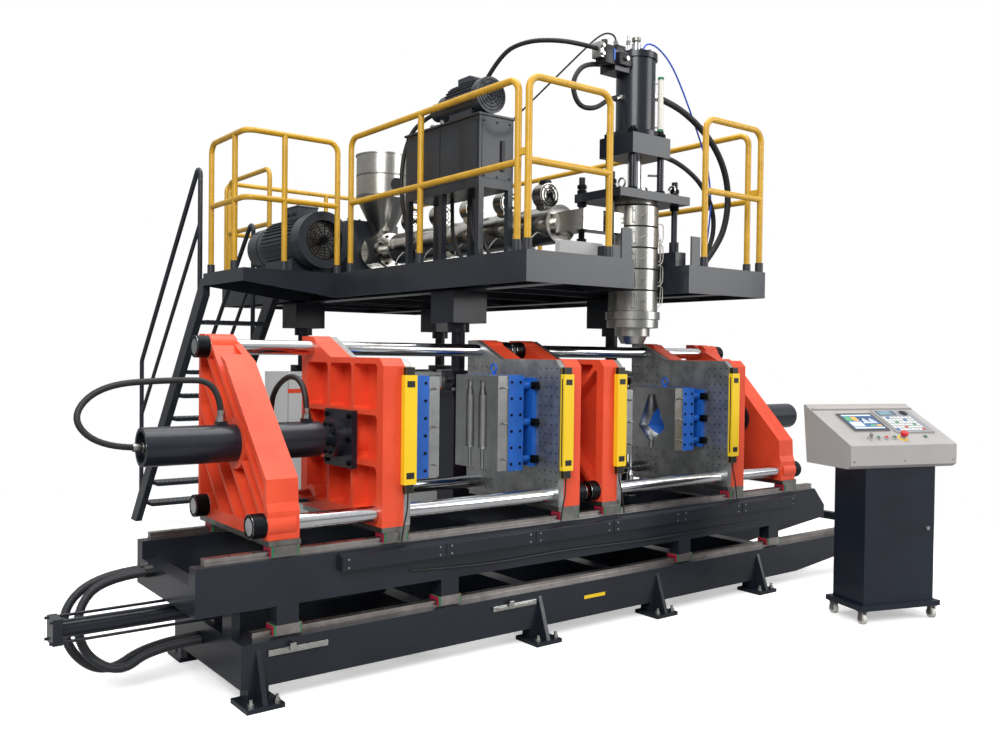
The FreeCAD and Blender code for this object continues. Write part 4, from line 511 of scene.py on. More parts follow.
def hose(name: str, points: Iterable[Point], radius: float, finish: Finish, body: str = "platform",
         flip: int = 1) -> bpy.types.Object:
    """Lay a smooth round hose or wire along points.

    Args:
        name: the piece's name.
        points: its route from the middle of the carriage.
        radius: its radius in metres.
        finish: its surface.
        body: the CAD body that carries it.
        flip: the sign that X is counted with.

    Returns:
        The hose as a curve object.
    """
    spots = [Vector((flip * x, y, z)) + CENTRE for x, y, z in points]
    curve = bpy.data.curves.new(name, "CURVE")
    curve.dimensions = "3D"
    line = curve.splines.new("NURBS")
    line.points.add(len(spots) - 1)
    for point, spot in zip(line.points, spots):
        point.co = (*spot, 1.0)
    line.order_u = 3
    line.use_endpoint_u = True
    line.resolution_u = 8
    curve.bevel_depth = radius
    curve.bevel_resolution = 3
    curve.use_fill_caps = True
    return carry(name, curve, finish, body)


def ribbed(name: str, points: Iterable[Point], radius: float, pitch: float, finish: Finish,
           body: str) -> bpy.types.Object:
    """Lay a corrugated conduit: a ribbed tube that is turned, then bent to its route.

    Args:
        name: the piece's name.
        points: its route from the middle of the carriage.
        radius: its radius over the ribs.
        pitch: length of one rib with its groove.
        finish: its surface.
        body: the CAD body that carries it.

    Returns:
        The conduit as a mesh object.
    """
    guide = hose(f"{name}_route", points, 0.0, finish, body)
    guide.parent = None
    spots = [v.co for v in bpy.data.meshes.new_from_object(guide).vertices]
    length = sum((b - a).length for a, b in zip(spots, spots[1:]))
    work = bmesh.new()
    count = int(length / pitch)
    rib = ((0.0, 0.86), (0.2, 1.0), (0.55, 1.0), (0.75, 0.86))
    verts = [work.verts.new(((index + share) * length / count, radius * size, 0.0))
             for index in range(count) for share, size in rib]
    verts.append(work.verts.new((length, radius * rib[0][1], 0.0)))
    edges = [work.edges.new(pair) for pair in zip(verts, verts[1:])]
    bmesh.ops.spin(work, geom=verts + edges, cent=(0, 0, 0), axis=(1, 0, 0), angle=TURN, steps=14,
                   use_merge=True, use_duplicate=False)
    bmesh.ops.recalc_face_normals(work, faces=work.faces)
    data = bpy.data.meshes.new(name)
    work.to_mesh(data)
    work.free()
    straight = bpy.data.objects.new(f"{name}_straight", data)
    bpy.context.collection.objects.link(straight)
    bend = straight.modifiers.new("bend", "CURVE")
    bend.object = guide
    bend.deform_axis = "POS_X"
    bpy.context.view_layer.update()
    solved = bpy.data.meshes.new_from_object(
        straight.evaluated_get(bpy.context.evaluated_depsgraph_get()))
    solved.name = name
    bpy.data.objects.remove(straight)
    bpy.data.objects.remove(guide)
    solved.polygons.foreach_set("use_smooth", [True] * len(solved.polygons))
    solved.materials.clear()
    return carry(name, solved, finish, body)


# ------------------------------------------------------------------ which finish each node has
def node_finishes() -> dict[str, Finish]:
    """List the finish of every CAD node that isn't black enamel.

    Returns:
        Node names with their finishes.
    """
    table = {"railings": Split("railing_enamel_and_sockets", "33363B", 0.4, "DBA92B", 2, 2.270,
                               (False, False), 0.34)}
    for finish, names in (
            (PLATFORM, "deck_frame stair oil_tank"), (RAIL, "base_rails carriage_rails"),
            (COVER, "extruder"), (STAINLESS, "hopper head_barrel"), (MOTOR, "gearbox motor_frame"),
            (STEEL, "motor_rotor extruder_screw lift_shaft die_pin"), (CHROME, "head_ram shift_rod blow_pin"),
            (DESK, "desk_case"), (CABINET, "desk_cabinet"), (CAST_WHEEL, "desk_castors"),
            (GREY_CABINET, "rear_cabinet"), (RED, "stop_button"), (BRIGHT, "key_switch")):
        table.update({name: finish for name in names.split()})
    for side in Side:
        station, sign = side.name.lower(), side.value
        for finish, names in (
                (ORANGE, "end_plate front_platen moving_platen"), (SCRAPED, "front_face moving_face"),
                (CHROME, "tie_bars"), (STEEL, "front_slides moving_slides"),
                (CURTAIN, "front_curtain moving_curtain")):
            table.update({f"{station}_{name}": finish for name in names.split()})
        for half, joint, metal_high in (("front", 0.470, sign > 0), ("moving", 1.010, sign < 0)):
            sheet, aluminium = ("1E66C8", 0.36), ("B9BBBB", 0.3)
            first, last = (sheet, aluminium) if metal_high else (aluminium, sheet)
            table[f"{station}_{half}_mould"] = Split(
                f"{station}_{half}_mould_blocks", *first, last[0], 0, sign * joint + CENTRE.x,
                (not metal_high, metal_high), last[1])
    return table


def dress(finishes: dict[str, Finish]) -> None:
    """Give every CAD node the finish of the real piece.

    Args:
        finishes: node names with their finishes; black enamel goes on the rest.
    """
    for name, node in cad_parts.items():
        finish = finishes.get(name, BLACK)
        node.data.materials.clear()
        node.data.materials.append(finish.material())
        LOG.info("%s dressed in %s", name, finish.name)


# ------------------------------------------------------------------ clamp stations
def seals(green: Workpiece, wine: Workpiece, middle: float, foot: float) -> None:
    """Add the end seals and wipers of two guide blocks, each open over its rail.

    Args:
        green: the workpiece of the seals.
        wine: the workpiece of the wipers.
        middle: the blocks' middle along the machine.
        foot: height of the rails' foot.
    """
    for y in (-RAIL_Y, RAIL_Y):
        for end in EDGES:
            for work, near, far, wide in ((green, 0.060, 0.069, 0.0435), (wine, 0.069, 0.073, 0.040)):
                low, high = middle + end * near, middle + end * far
                work.block((low, y - wide, foot + 0.0375), (high, y + wide, foot + 0.0555), 0.001)
                for side in EDGES:
                    work.block((low, y + side * wide, foot + 0.010), (high, y + side * 0.024, foot + 0.0375))


@dataclass
class Station:
    """The small parts of one clamp station: nuts, screws, seals, curtains' ends and holes."""

    side: Side
    ties: tuple = ((-0.345, 0.795), (0.378, 0.795), (0.378, 1.622))
    axis_z: float = 1.150

    def __post_init__(self) -> None:
        """Name the bodies that carry the front platen and the moving platen."""
        self.name = self.side.name.lower()
        self.still, self.moving = f"{self.name}_clamp_frame", f"{self.name}_moving_half"

    def new(self, count: int) -> list[Workpiece]:
        """Start workpieces that count X outwards from the middle plane."""
        return [Workpiece(flip=self.side.value) for _ in range(count)]

    def build(self) -> None:
        """Build every small part of the station."""
        self.tie_nuts()
        self.guide_seals()
        self.curtain_ends()
        self.face_holes()
        self.cylinder_parts()
        self.mould_parts()

    def tie_nuts(self) -> None:
        """Build the blackened clamping nuts with their pinch screws, and a thin dark sheet of painted shade
        in each slit.
        """
        sleeve, slit, screws = self.new(3)
        for y, z in self.ties:
            for near, far, sign in ((0.0195, 0.0898, -1), (2.0052, 2.0755, 1)):
                high = far - near
                sleeve.lathe([(0.0408, 0.0), (0.0560, 0.0), (0.0582, 0.0022), (0.0582, high - 0.0022),
                              (0.0560, high), (0.0408, high)], (near, y, z), Axis.X)
                face = far if sign > 0 else near
                # a thin dark sheet on the nut's face is painted shade in the slit
                slit.slab((face, y, z + 0.0494), (0.0006, 0.0016, 0.0084))
                for angle in (0.6, 2.3, 4.0, 5.5):
                    across, along = polar(0.0495, angle)
                    screws.bolt((face, y + across, z + along), (sign, 0, 0), 0.0045, 0.003)
        sleeve.finish(f"{self.name}_tie_nut_sleeves", BLACK_STEEL, self.still)
        slit.finish(f"{self.name}_tie_nut_slits", SHADE_AND_DARK, self.still, False)
        screws.finish(f"{self.name}_tie_nut_screws", BLACK_STEEL, self.still)

    def guide_seals(self) -> None:
        """Build the green seals and wine-red wipers of the slides."""
        for body, places in ((self.still, (0.169, 1.925)), (self.moving, (1.330,))):
            green, wine = self.new(2)
            for x in places:
                seals(green, wine, x, 0.647)
            green.finish(f"{body}_seals", GREEN, body, False)
            wine.finish(f"{body}_wipers", WINE, body, False)

    def curtain_ends(self) -> None:
        """Build the black ends, the dark lens strips and the foot cables of the light curtains."""
        for body, low, high, lens in ((self.still, 0.175, 0.250, 0.2504),
                                      (self.moving, 1.233, 1.307, 1.2326)):
            ends, strip = self.new(2)
            for bottom, top in ((0.8945, 0.9405), (1.4895, 1.5305)):
                ends.block((low + 0.0115, -0.4405, bottom), (high - 0.0115, -0.4105, top), 0.002)
            for z in (0.985, 1.445):
                ends.block((low + 0.014, -0.4475, z - 0.016), (high - 0.014, -0.4455, z + 0.016), 0.001)
            strip.slab((lens, -0.430, 1.215), (0.0006, 0.004, 0.250))
            ends.finish(f"{body}_curtain_ends", BLACK_PLASTIC, body, False)
            strip.finish(f"{body}_curtain_lens", SHADE_AND_DARK, body, False)
            hose(f"{body}_curtain_cable", [
                ((low + high) / 2 + over, y, z) for over, y, z in (
                    (0, -0.425, 0.897), (0, -0.426, 0.86), (0.012, -0.436, 0.80), (0.03, -0.434, 0.73),
                    (0.04, -0.4335, 0.655))], 0.0042, BLACK_PLASTIC, body, self.side.value)

    def face_holes(self) -> None:
        """Build the rows of small tapped holes in both scraped faces, as dark discs of painted shade."""
        low_tie_z = self.ties[0][1]
        for body, face, sign in ((self.still, 0.250, 1), (self.moving, 1.245, -1)):
            holes, = self.new(1)
            for row in range(15):
                z = 0.765 + row * 0.054
                for y in (-0.385, -0.335, -0.285, -0.235, 0.240, 0.290, 0.340, 0.430, 0.480):
                    beside_low_tie = (y > 0.33 or y < -0.28) and abs(z - low_tie_z) < 0.06
                    past_corner = z > 1.555 and y < 0.15
                    if not (beside_low_tie or past_corner):
                        # each hole is a flat dark disc in the face: painted shade
                        holes.bar((face - 0.001 * sign, y, z), (face + 0.0004 * sign, y, z), 0.0055, 10)
            holes.finish(f"{body}_tapped_holes", SHADE_AND_DARK, body, False)

    def cylinder_parts(self) -> None:
        """Build the screws of flange and collar and the plug in the cylinder's end."""
        flange, ring, plug = self.new(3)
        out, z = (1, 0, 0), self.axis_z
        for y in (-0.122, 0.122):
            for over in (-0.122, 0.0, 0.122):
                flange.bolt((1.440, y, z + over), out, 0.014, 0.014)
        flange.bolt_ring((1.499, 0, z), out, 0.078, 8, 0.009, 0.009)
        ring.bolt_ring((1.819, 0, z), (-1, 0, 0), 0.103, 8, 0.008, 0.008)
        ring.bolt_ring((2.425, 0, z), out, 0.055, 8, 0.007, 0.007)
        for x in (1.622, 2.075):
            plug.stub((x, 0, 1.2585), (0, 0, 0.0135), 0.017, 6)
        if self.side is Side.RIGHT:
            plug.stub((2.425, 0, z), (0.037, 0, 0), 0.018, 6)
        flange.finish(f"{self.name}_flange_screws", BLACK_STEEL, self.moving)
        ring.finish(f"{self.name}_cylinder_screws", BLACK_STEEL, self.still)
        plug.finish(f"{self.name}_port_nuts", BRIGHT, self.still)

    def mould_parts(self) -> None:
        """Build the screws, lifting eyes, toe clamps and coolant nipples of both mould halves."""
        low, high = (0.930, 1.480) if self.side is Side.LEFT else (0.970, 1.390)
        for body, middle, block, base, sign in ((self.still, 0.415, 0.505, 0.250, 1),
                                                (self.moving, 1.065, 0.975, 1.245, -1)):
            screws, eyes, clamps, nipples = self.new(4)
            for row in range(6):
                z = low + 0.04 + row * (high - low - 0.08) / 5
                for x in (middle - 0.032, middle + 0.032):
                    for face in EDGES:
                        screws.bolt((x, face * 0.2150, z), (0, face, 0), 0.0085, 0.0035)
            for row in range(3):
                z = low + 0.07 + row * (high - low - 0.14) / 2
                nipples.bar((block, -0.2088, z), (block, -0.232, z), 0.0075, 6)
                nipples.bar((block, -0.231, z), (block, -0.250, z), 0.0052, 16)
            eyes.torus((middle, 0, high + 0.038), Axis.X, 0.024, 0.006)
            eyes.bar((middle, 0, high - 0.001), (middle, 0, high + 0.014), 0.012, 20)
            for y in (-0.2075, 0.2075):
                for z in (low + 0.06, (low + high) / 2, high - 0.06):
                    clamps.slab((base + sign * 0.017, y, z), (0.017, 0.022, 0.022), 0.002)
                    clamps.bolt((base + sign * 0.034, y * 1.03, z), (sign, 0, 0), 0.010, 0.012)
            screws.finish(f"{body}_mould_screws", BLACK_STEEL, body)
            eyes.finish(f"{body}_mould_eye", BLUE, body)
            clamps.finish(f"{body}_toe_clamps", BLACK_STEEL, body)
            nipples.finish(f"{body}_coolant_nipples", BRIGHT, body)


# ------------------------------------------------------------------ hoses of station and carriage
@dataclass
class Hoses:
    """The pressure hoses of the left cylinder and the corrugated conduits of the carriage."""

    hose_radius: float = 0.015
    conduit_radius: float = 0.022
    pitch: float = 0.0075

    def build(self) -> None:
        """Lay the hoses and conduits with their end fittings."""
        body = "left_clamp_frame"
        end = hose("left_end_hose", [
            (-2.425, 0, 1.150), (-2.620, 0, 1.150), (-2.760, 0.030, 1.290), (-2.620, 0.060, 1.440),
            (-2.300, 0.045, 1.460), (-2.075, 0, 1.455), (-2.075, 0, 1.258)], self.hose_radius, RUBBER, body)
        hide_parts("left_hoses")
        hose("left_near_hose", [
            (-1.622, 0, 1.258), (-1.622, 0, 1.410), (-1.640, 0.140, 1.490), (-1.640, 0.360, 1.400),
            (-1.630, 0.430, 1.270), (-1.630, 0.430, 1.040), (-1.845, 0.430, 1.040)], self.hose_radius,
            RUBBER, body)
        fittings = Workpiece()
        for start, way, reach in (((-2.425, 0, 1.150), (-1, 0, 0), 0.067), ((-2.075, 0, 1.258), UP, 0.054),
                                  ((-1.622, 0, 1.258), UP, 0.054),
                                  ((-1.845, 0.430, 1.040), (1, 0, 0), 0.045)):
            start, run = Vector(start), Vector(way)
            fittings.stub(start, run * 0.022, 0.024, 6)
            fittings.bar(start + run * 0.022, start + run * reach, 0.0185, 28)
            fittings.stub(start + run * (reach - 0.016), run * 0.010, 0.0202, 28)
        fittings.finish("left_hose_fittings", BRIGHT, body)
        first, _ = [ribbed(f"carriage_conduit_{index}", [
            (-2.345, y, 0.530), (-2.570, y, 0.530), (-2.700 - wide, y - 0.020, 0.400),
            (-2.680 - wide, y - 0.060, 0.200), (-2.520 - wide, y - 0.095, 0.090 - wide / 3),
            (-2.380, y - 0.110, 0.190), (-2.145, y - 0.110, 0.190)], self.conduit_radius, self.pitch,
            CONDUIT, "carriage") for index, (y, wide) in enumerate(((0.170, 0.0), (0.245, 0.045)))]
        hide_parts("carriage_conduits")
        glands = Workpiece()
        for y in (0.170, 0.245):
            glands.stub((-2.344, y, 0.530), (-0.041, 0, 0), 0.0285, 8)
        glands.finish("carriage_conduit_glands", BLACK_PLASTIC, "carriage")


# ------------------------------------------------------------------ base and carriage
@dataclass
class Running:
    """Seals of the base guides, foot bolts, the rack, switch strips and tray covers."""

    guides: tuple = (-1.910, -1.000, 0.820, 1.745)
    feet: tuple = (-2.063, -0.407, 0.544, 1.540)
    tray_step: float = 0.6
    tooth: float = 0.0126

    def build(self) -> None:
        """Build the small parts of the base and the carriage."""
        self.rails()
        self.carriage()
        self.strips()
        self.cable()

    def rails(self) -> None:
        """Build the seals of the guides, the foot bolts and the plugs of the rails."""
        green, wine, bolts, plugs = (Workpiece() for _ in range(4))
        for x in self.guides:
            seals(green, wine, x, 0.283)
        for foot in self.feet:
            for x in (foot - 0.062, foot + 0.062):
                for y in (-0.505, 0.505):
                    bolts.bar((x, y, 0.0218), (x, y, 0.040), 0.015, 6)
                    bolts.bar((x, y, 0.039), (x, y, 0.058), 0.008, 14)
        for work, first, step, count, z in ((bolts, -1.95, 0.116, 46, 0.3178),
                                            (plugs, -2.18, 0.118, 37, 0.6818)):
            for k in range(count):
                for y in (-RAIL_Y, RAIL_Y):
                    work.stub((first + k * step, y, z), (0, 0, 0.0006), 0.0085, 14)
        green.finish("carriage_guide_seals", GREEN, "carriage", False)
        wine.finish("carriage_guide_wipers", WINE, "carriage", False)
        bolts.finish("base_bolts", BRIGHT, "base")
        plugs.finish("carriage_rail_plugs", BLACK_STEEL, "carriage")

    def carriage(self) -> None:
        """Build the carriage's rack and the covers of its tray with their screws."""
        rack = Workpiece().block((-1.50, -0.245, 0.5602), (-0.36, -0.215, 0.582), 0.001)
        for k in range(90):
            x = -1.494 + k * self.tooth
            rack.block((x, -0.245, 0.582), (x + 0.0062, -0.215, 0.590), 0.0012)
        tray, screws = Workpiece(), Workpiece()
        for k in range(6):
            x = -1.645 + k * self.tray_step
            tray.block((x, -0.4505, 0.5535), (x + 0.588, -0.4474, 0.6205), 0.001)
            for over in (0.03, 0.558):
                for z in (0.567, 0.607):
                    screws.bolt((x + over, -0.4505, z), FRONT, 0.005, 0.003)
        rack.finish("carriage_rack", STEEL, "carriage", False)
        tray.finish("carriage_tray_covers", BLACK, "carriage", False)
        screws.finish("carriage_tray_screws", BRIGHT, "carriage")

    def strips(self) -> None:
        """Build the switch strips and the plain yellow strip on the base's front."""
        strips = Workpiece()
        for x in (-2.02, -0.74):
            strips.block((x, -0.4520, 0.215), (x + 0.30, -0.4398, 0.243), 0.002)
            strips.block((x + 0.03, -0.4560, 0.223), (x + 0.27, -0.4515, 0.235), 0.001)
            strips.block((x + 0.10, -0.4680, 0.228), (x + 0.13, -0.4555, 0.262), 0.002)
        strips.finish("base_switch_strips", BRIGHT, "base", False)
        warning = Workpiece().block((-0.07, -0.4412, 0.184), (0.096, -0.4398, 0.204))
        warning.finish("base_yellow_strip", CURTAIN, "base", False)

    def cable(self) -> None:
        """Lay the cable along the carriage's front."""
        hose("carriage_side_cable", [
            (-1.25, -0.418, 0.50), (-0.80, -0.424, 0.47), (-0.2, -0.424, 0.485), (0.5, -0.424, 0.465),
            (1.2, -0.424, 0.48), (1.60, -0.418, 0.47)], 0.006, BLACK_PLASTIC, "carriage")


# ------------------------------------------------------------------ accumulator head
@dataclass
class Head:
    """Painted-shade rings in the band gaps, clamps, wires, rods, valve and transducer of the accumulator
    head.
    """

    x: float = 0.740
    foot: float = 1.896
    band: float = 0.694 / 5

    def around(self, angle: float, radius: float, z: float) -> tuple[float, float, float]:
        """Give a point around the head, angle from +X towards +Y."""
        across, along = polar(radius, angle)
        return self.x + across, along, z

    def build(self) -> None:
        """Build the parts of the head."""
        self.bands()
        self.wires()
        self.plate()
        self.ram()
        self.transducer()
        self.lines()

    def bands(self) -> None:
        """Build the dark rings of painted shade in the gaps, and the seam clamps and sensors of the heater
        bands.
        """
        rings, lugs, sensors = (Workpiece() for _ in range(3))
        for k in range(5):
            low = self.foot + k * self.band
            # a dark ring at the top of each band is painted shade in the gap above it
            rings.lathe([(0.150, 0.0), (0.1605, 0.0), (0.1605, 0.0118), (0.150, 0.0118)],
                        (self.x, 0, low + self.band - 0.0119), steps=56)
            for angle in (-0.35, -2.35):
                for z in (low + 0.022, low + self.band - 0.040):
                    lugs.bar(self.around(angle, 0.160, z), self.around(angle, 0.182, z), 0.006, 12)
                side = Vector((-math.sin(angle), math.cos(angle), 0.0))
                for off in (-0.011, 0.011):
                    lugs.stub(Vector(self.around(angle, 0.172, low + 0.012)) + side * off,
                              (0, 0, self.band - 0.036), 0.0035, 10)
            for near, far, radius, sides in ((0.158, 0.198, 0.007, 6), (0.196, 0.225, 0.0035, 12)):
                sensors.bar(self.around(-2.0, near, low + 0.060), self.around(-2.0, far, low + 0.060),
                            radius, sides)
        rings.finish("head_band_gap_shades", SHADE_AND_DARK)
        lugs.finish("head_band_clamps", BRIGHT)
        sensors.finish("head_sensors", BRIGHT)

    def wires(self) -> None:
        """Lay the silk-sleeved wires from band to band and up to the head plate."""
        for k in range(4):
            low = 1.93 + k * self.band
            hose(f"head_wire_{k}", [self.around(angle, radius, low + over) for angle, radius, over in (
                (-0.35, 0.180, 0.0), (-0.30, 0.215, 0.01), (-0.22, 0.238, 0.05), (-0.20, 0.240, 0.11),
                (-0.30, 0.222, 0.145), (-0.35, 0.181, self.band))], 0.0032, WHITE_WIRE)
            hose(f"head_wire_drop_{k}", [self.around(*place) for place in (
                (-0.35, 0.182, low + 0.03), (-0.24, 0.205, low + 0.02), (-0.15, 0.232, low + 0.06),
                (-0.10, 0.240, 2.20), (-0.05, 0.240, 2.34), (0.02, 0.235, 2.52), (0.10, 0.23, 2.6095))],
                0.003, WHITE_WIRE)

    def plate(self) -> None:
        """Build the nuts, threads and lifting eyes of the head plate and yoke."""
        nuts, threads, eye = (Workpiece() for _ in range(3))
        for x in (self.x - 0.295, self.x + 0.295):
            for y in (-0.090, 0.190):
                for z in (2.6652, 2.700, 2.5832):
                    nuts.stub((x, y, z), (0, 0, 0.026), 0.032, 6)
                for k in range(22):
                    threads.lathe([(0.0195, 0.0), (0.0208, 0.0005), (0.0195, 0.001)],
                                  (x, y, 2.728 + k * 0.002), steps=18)
        for x in (self.x - 0.130, self.x + 0.130):
            for y in (-0.110, 0.110):
                for z, height, radius, sides in ((2.6652, 0.0288, 0.034, 6), (3.0402, 0.0278, 0.034, 6),
                                                 (3.067, 0.021, 0.020, 20)):
                    nuts.stub((x, y, z), (0, 0, height), radius, sides)
        for x in (self.x + 0.235, self.x - 0.235):
            eye.torus((x, -0.120, 2.708), Axis.X, 0.030, 0.0065)
            eye.bar((x, -0.120, 2.664), (x, -0.120, 2.680), 0.014, 20)
        nuts.finish("head_frame_nuts", BLACK_STEEL, smooth=False)
        threads.finish("head_pillar_threads", BLACK_STEEL)
        eye.finish("head_lifting_eyes", BRIGHT)

    def ram(self) -> None:
        """Build the ram cylinder's screws and its valve block with plugs, plate and thin pipe."""
        screws, valve, sockets = (Workpiece() for _ in range(3))
        screws.bolt_ring((self.x, 0, 3.590), UP, 0.122, 12, 0.010, 0.010, 0)
        screws.bolt_ring((self.x, 0, 3.0735), UP, 0.143, 12, 0.008, 0.008, 0)
        for near, far, bevel in (((0.505, -0.085, 3.475), (0.615, -0.058, 3.555), 0.004),
                                 ((0.515, -0.045, 3.570), (0.600, 0.060, 3.612), 0.004),
                                 ((0.400, -0.062, 3.470), (0.489, 0.030, 3.590), 0.005)):
            valve.block(near, far, bevel)
        for start, run, radius in (((0.489, -0.020, 3.505), (-0.049, 0, 0), 0.026),
                                   ((0.489, 0.045, 3.505), (-0.034, 0, 0), 0.022),
                                   ((0.435, -0.016, 3.589), (0, 0, 0.039), 0.020)):
            valve.stub(start, run, radius, 28)
        sockets.block((0.360, -0.055, 3.500), (0.400, 0.022, 3.600), 0.004)
        for start, run, radius, sides in (
                ((0.530, -0.020, 3.611), (0, 0, 0.029), 0.014, 8),
                ((0.580, 0.020, 3.611), (0, 0, 0.029), 0.014, 8),
                ((0.560, -0.084, 3.515), (0, -0.024, 0), 0.015, 8),
                ((0.380, -0.056, 3.520), (0, -0.018, 0), 0.012, 8),
                ((0.380, -0.056, 3.570), (0, -0.018, 0), 0.012, 8),
                ((0.646, -0.020, 3.585), (0, 0, 0.115), 0.007, 16),
                ((0.646, -0.020, 3.640), (0, 0, 0.025), 0.015, 6),
                ((0.825, 0.020, 3.585), (0, 0, 0.060), 0.010, 8)):
            sockets.stub(start, run, radius, sides)
        plate = Workpiece().block((0.474, -0.066, 3.500), (0.487, -0.061, 3.570), 0.001)
        plate.finish("head_valve_plate", BLUE, smooth=False)
        screws.finish("head_ram_screws", BLACK_STEEL)
        valve.finish("head_valve", BLACK_PLASTIC)
        sockets.finish("head_valve_connectors", BRIGHT)

    def transducer(self) -> None:
        """Build the position transducer beside the ram cylinder with its rod and arms."""
        tube, ends, rod = (Workpiece() for _ in range(3))
        angle, reach = -0.62, 0.168
        tube.bar(self.around(angle, reach, 3.105), self.around(angle, reach, 3.435), 0.0185, 28)
        for z in (3.090, 3.435):
            ends.stub(self.around(angle, reach, z), (0, 0, 0.016), 0.0205, 28)
        rod.stub(self.around(angle, reach, 2.790), (0, 0, 0.300), 0.004, 12)
        for near, far, z, radius, sides in ((0.128, reach, 3.12, 0.006, 10), (0.128, reach, 3.41, 0.006, 10),
                                            (0.090, 0.170, 2.80, 0.008, 8)):
            rod.bar(self.around(angle, near, z), self.around(angle, far, z), radius, sides)
        tube.finish("head_transducer_tube", IVORY)
        ends.finish("head_transducer_ends", GREEN)
        rod.finish("head_transducer_rod", BRIGHT)

    def lines(self) -> None:
        """Lay the hoses, the cable and the air line that leave the head, with their fittings."""
        for name, radius, finish, points in (
                ("head_hose_high", 0.022, RUBBER, (
                    (0.865, -0.03, 3.34), (0.96, -0.03, 3.34), (1.22, -0.03, 3.28), (1.50, -0.03, 3.12),
                    (1.67, -0.02, 2.90), (1.71, 0.00, 2.64), (1.64, 0.03, 2.40), (1.47, 0.08, DECK_TOP))),
                ("head_hose_low", 0.017, RUBBER, (
                    (0.914, 0.03, 2.98), (1.02, 0.03, 2.98), (1.26, 0.04, 2.94), (1.50, 0.05, 2.82),
                    (1.65, 0.07, 2.62), (1.64, 0.10, 2.38), (1.52, 0.14, DECK_TOP))),
                ("head_air_line", 0.006, AIR_BLUE, (
                    (0.825, 0.02, 3.64), (0.835, 0.02, 3.70), (0.95, 0.02, 3.71), (1.10, 0.02, 3.62),
                    (1.24, 0.03, 3.45), (1.38, 0.03, 3.22), (1.54, 0.04, 2.95), (1.60, 0.06, 2.60),
                    (1.55, 0.10, DECK_TOP))),
                ("head_valve_hose_a", 0.015, RUBBER, (
                    (0.361, -0.02, 3.56), (0.29, -0.02, 3.56), (0.16, 0.10, 3.60), (0.06, 0.32, 3.63),
                    (0.0, 0.52, 3.58), (-0.03, 0.66, 3.40))),
                ("head_valve_hose_b", 0.016, RUBBER, (
                    (0.455, 0.045, 3.49), (0.36, 0.02, 3.47), (0.24, 0.0, 3.42), (0.17, 0.0, 3.30),
                    (0.23, 0.0, 3.17), (0.38, 0.0, 3.18), (0.50, 0.0, 3.27), (0.617, 0.0, 3.30))),
                ("head_signal_cable", 0.006, BLACK_PLASTIC, (
                    (0.53, -0.02, 3.64), (0.53, -0.02, 3.68), (0.45, 0.02, 3.69), (0.34, 0.12, 3.55),
                    (0.22, 0.30, 3.36), (0.10, 0.50, 3.162)))):
            hose(name, points, radius, finish)
        ends = Workpiece()
        for start, way, radius in (((0.862, -0.03, 3.34), (1, 0, 0), 0.026),
                                   ((0.913, 0.03, 2.98), (1, 0, 0), 0.021),
                                   ((0.618, 0.0, 3.30), (-0.93, 0, -0.37), 0.020)):
            start, run = Vector(start), Vector(way)
            ends.stub(start, run * 0.024, radius + 0.004, 6)
            ends.stub(start + run * 0.023, run * 0.045, radius, 28)
        for x, y, radius in ((1.47, 0.08, 0.030), (1.52, 0.14, 0.025)):
            ends.stub((x, y, 2.2051), (0, 0, 0.0309), radius, 8)
        ends.finish("head_hose_fittings", BRIGHT)


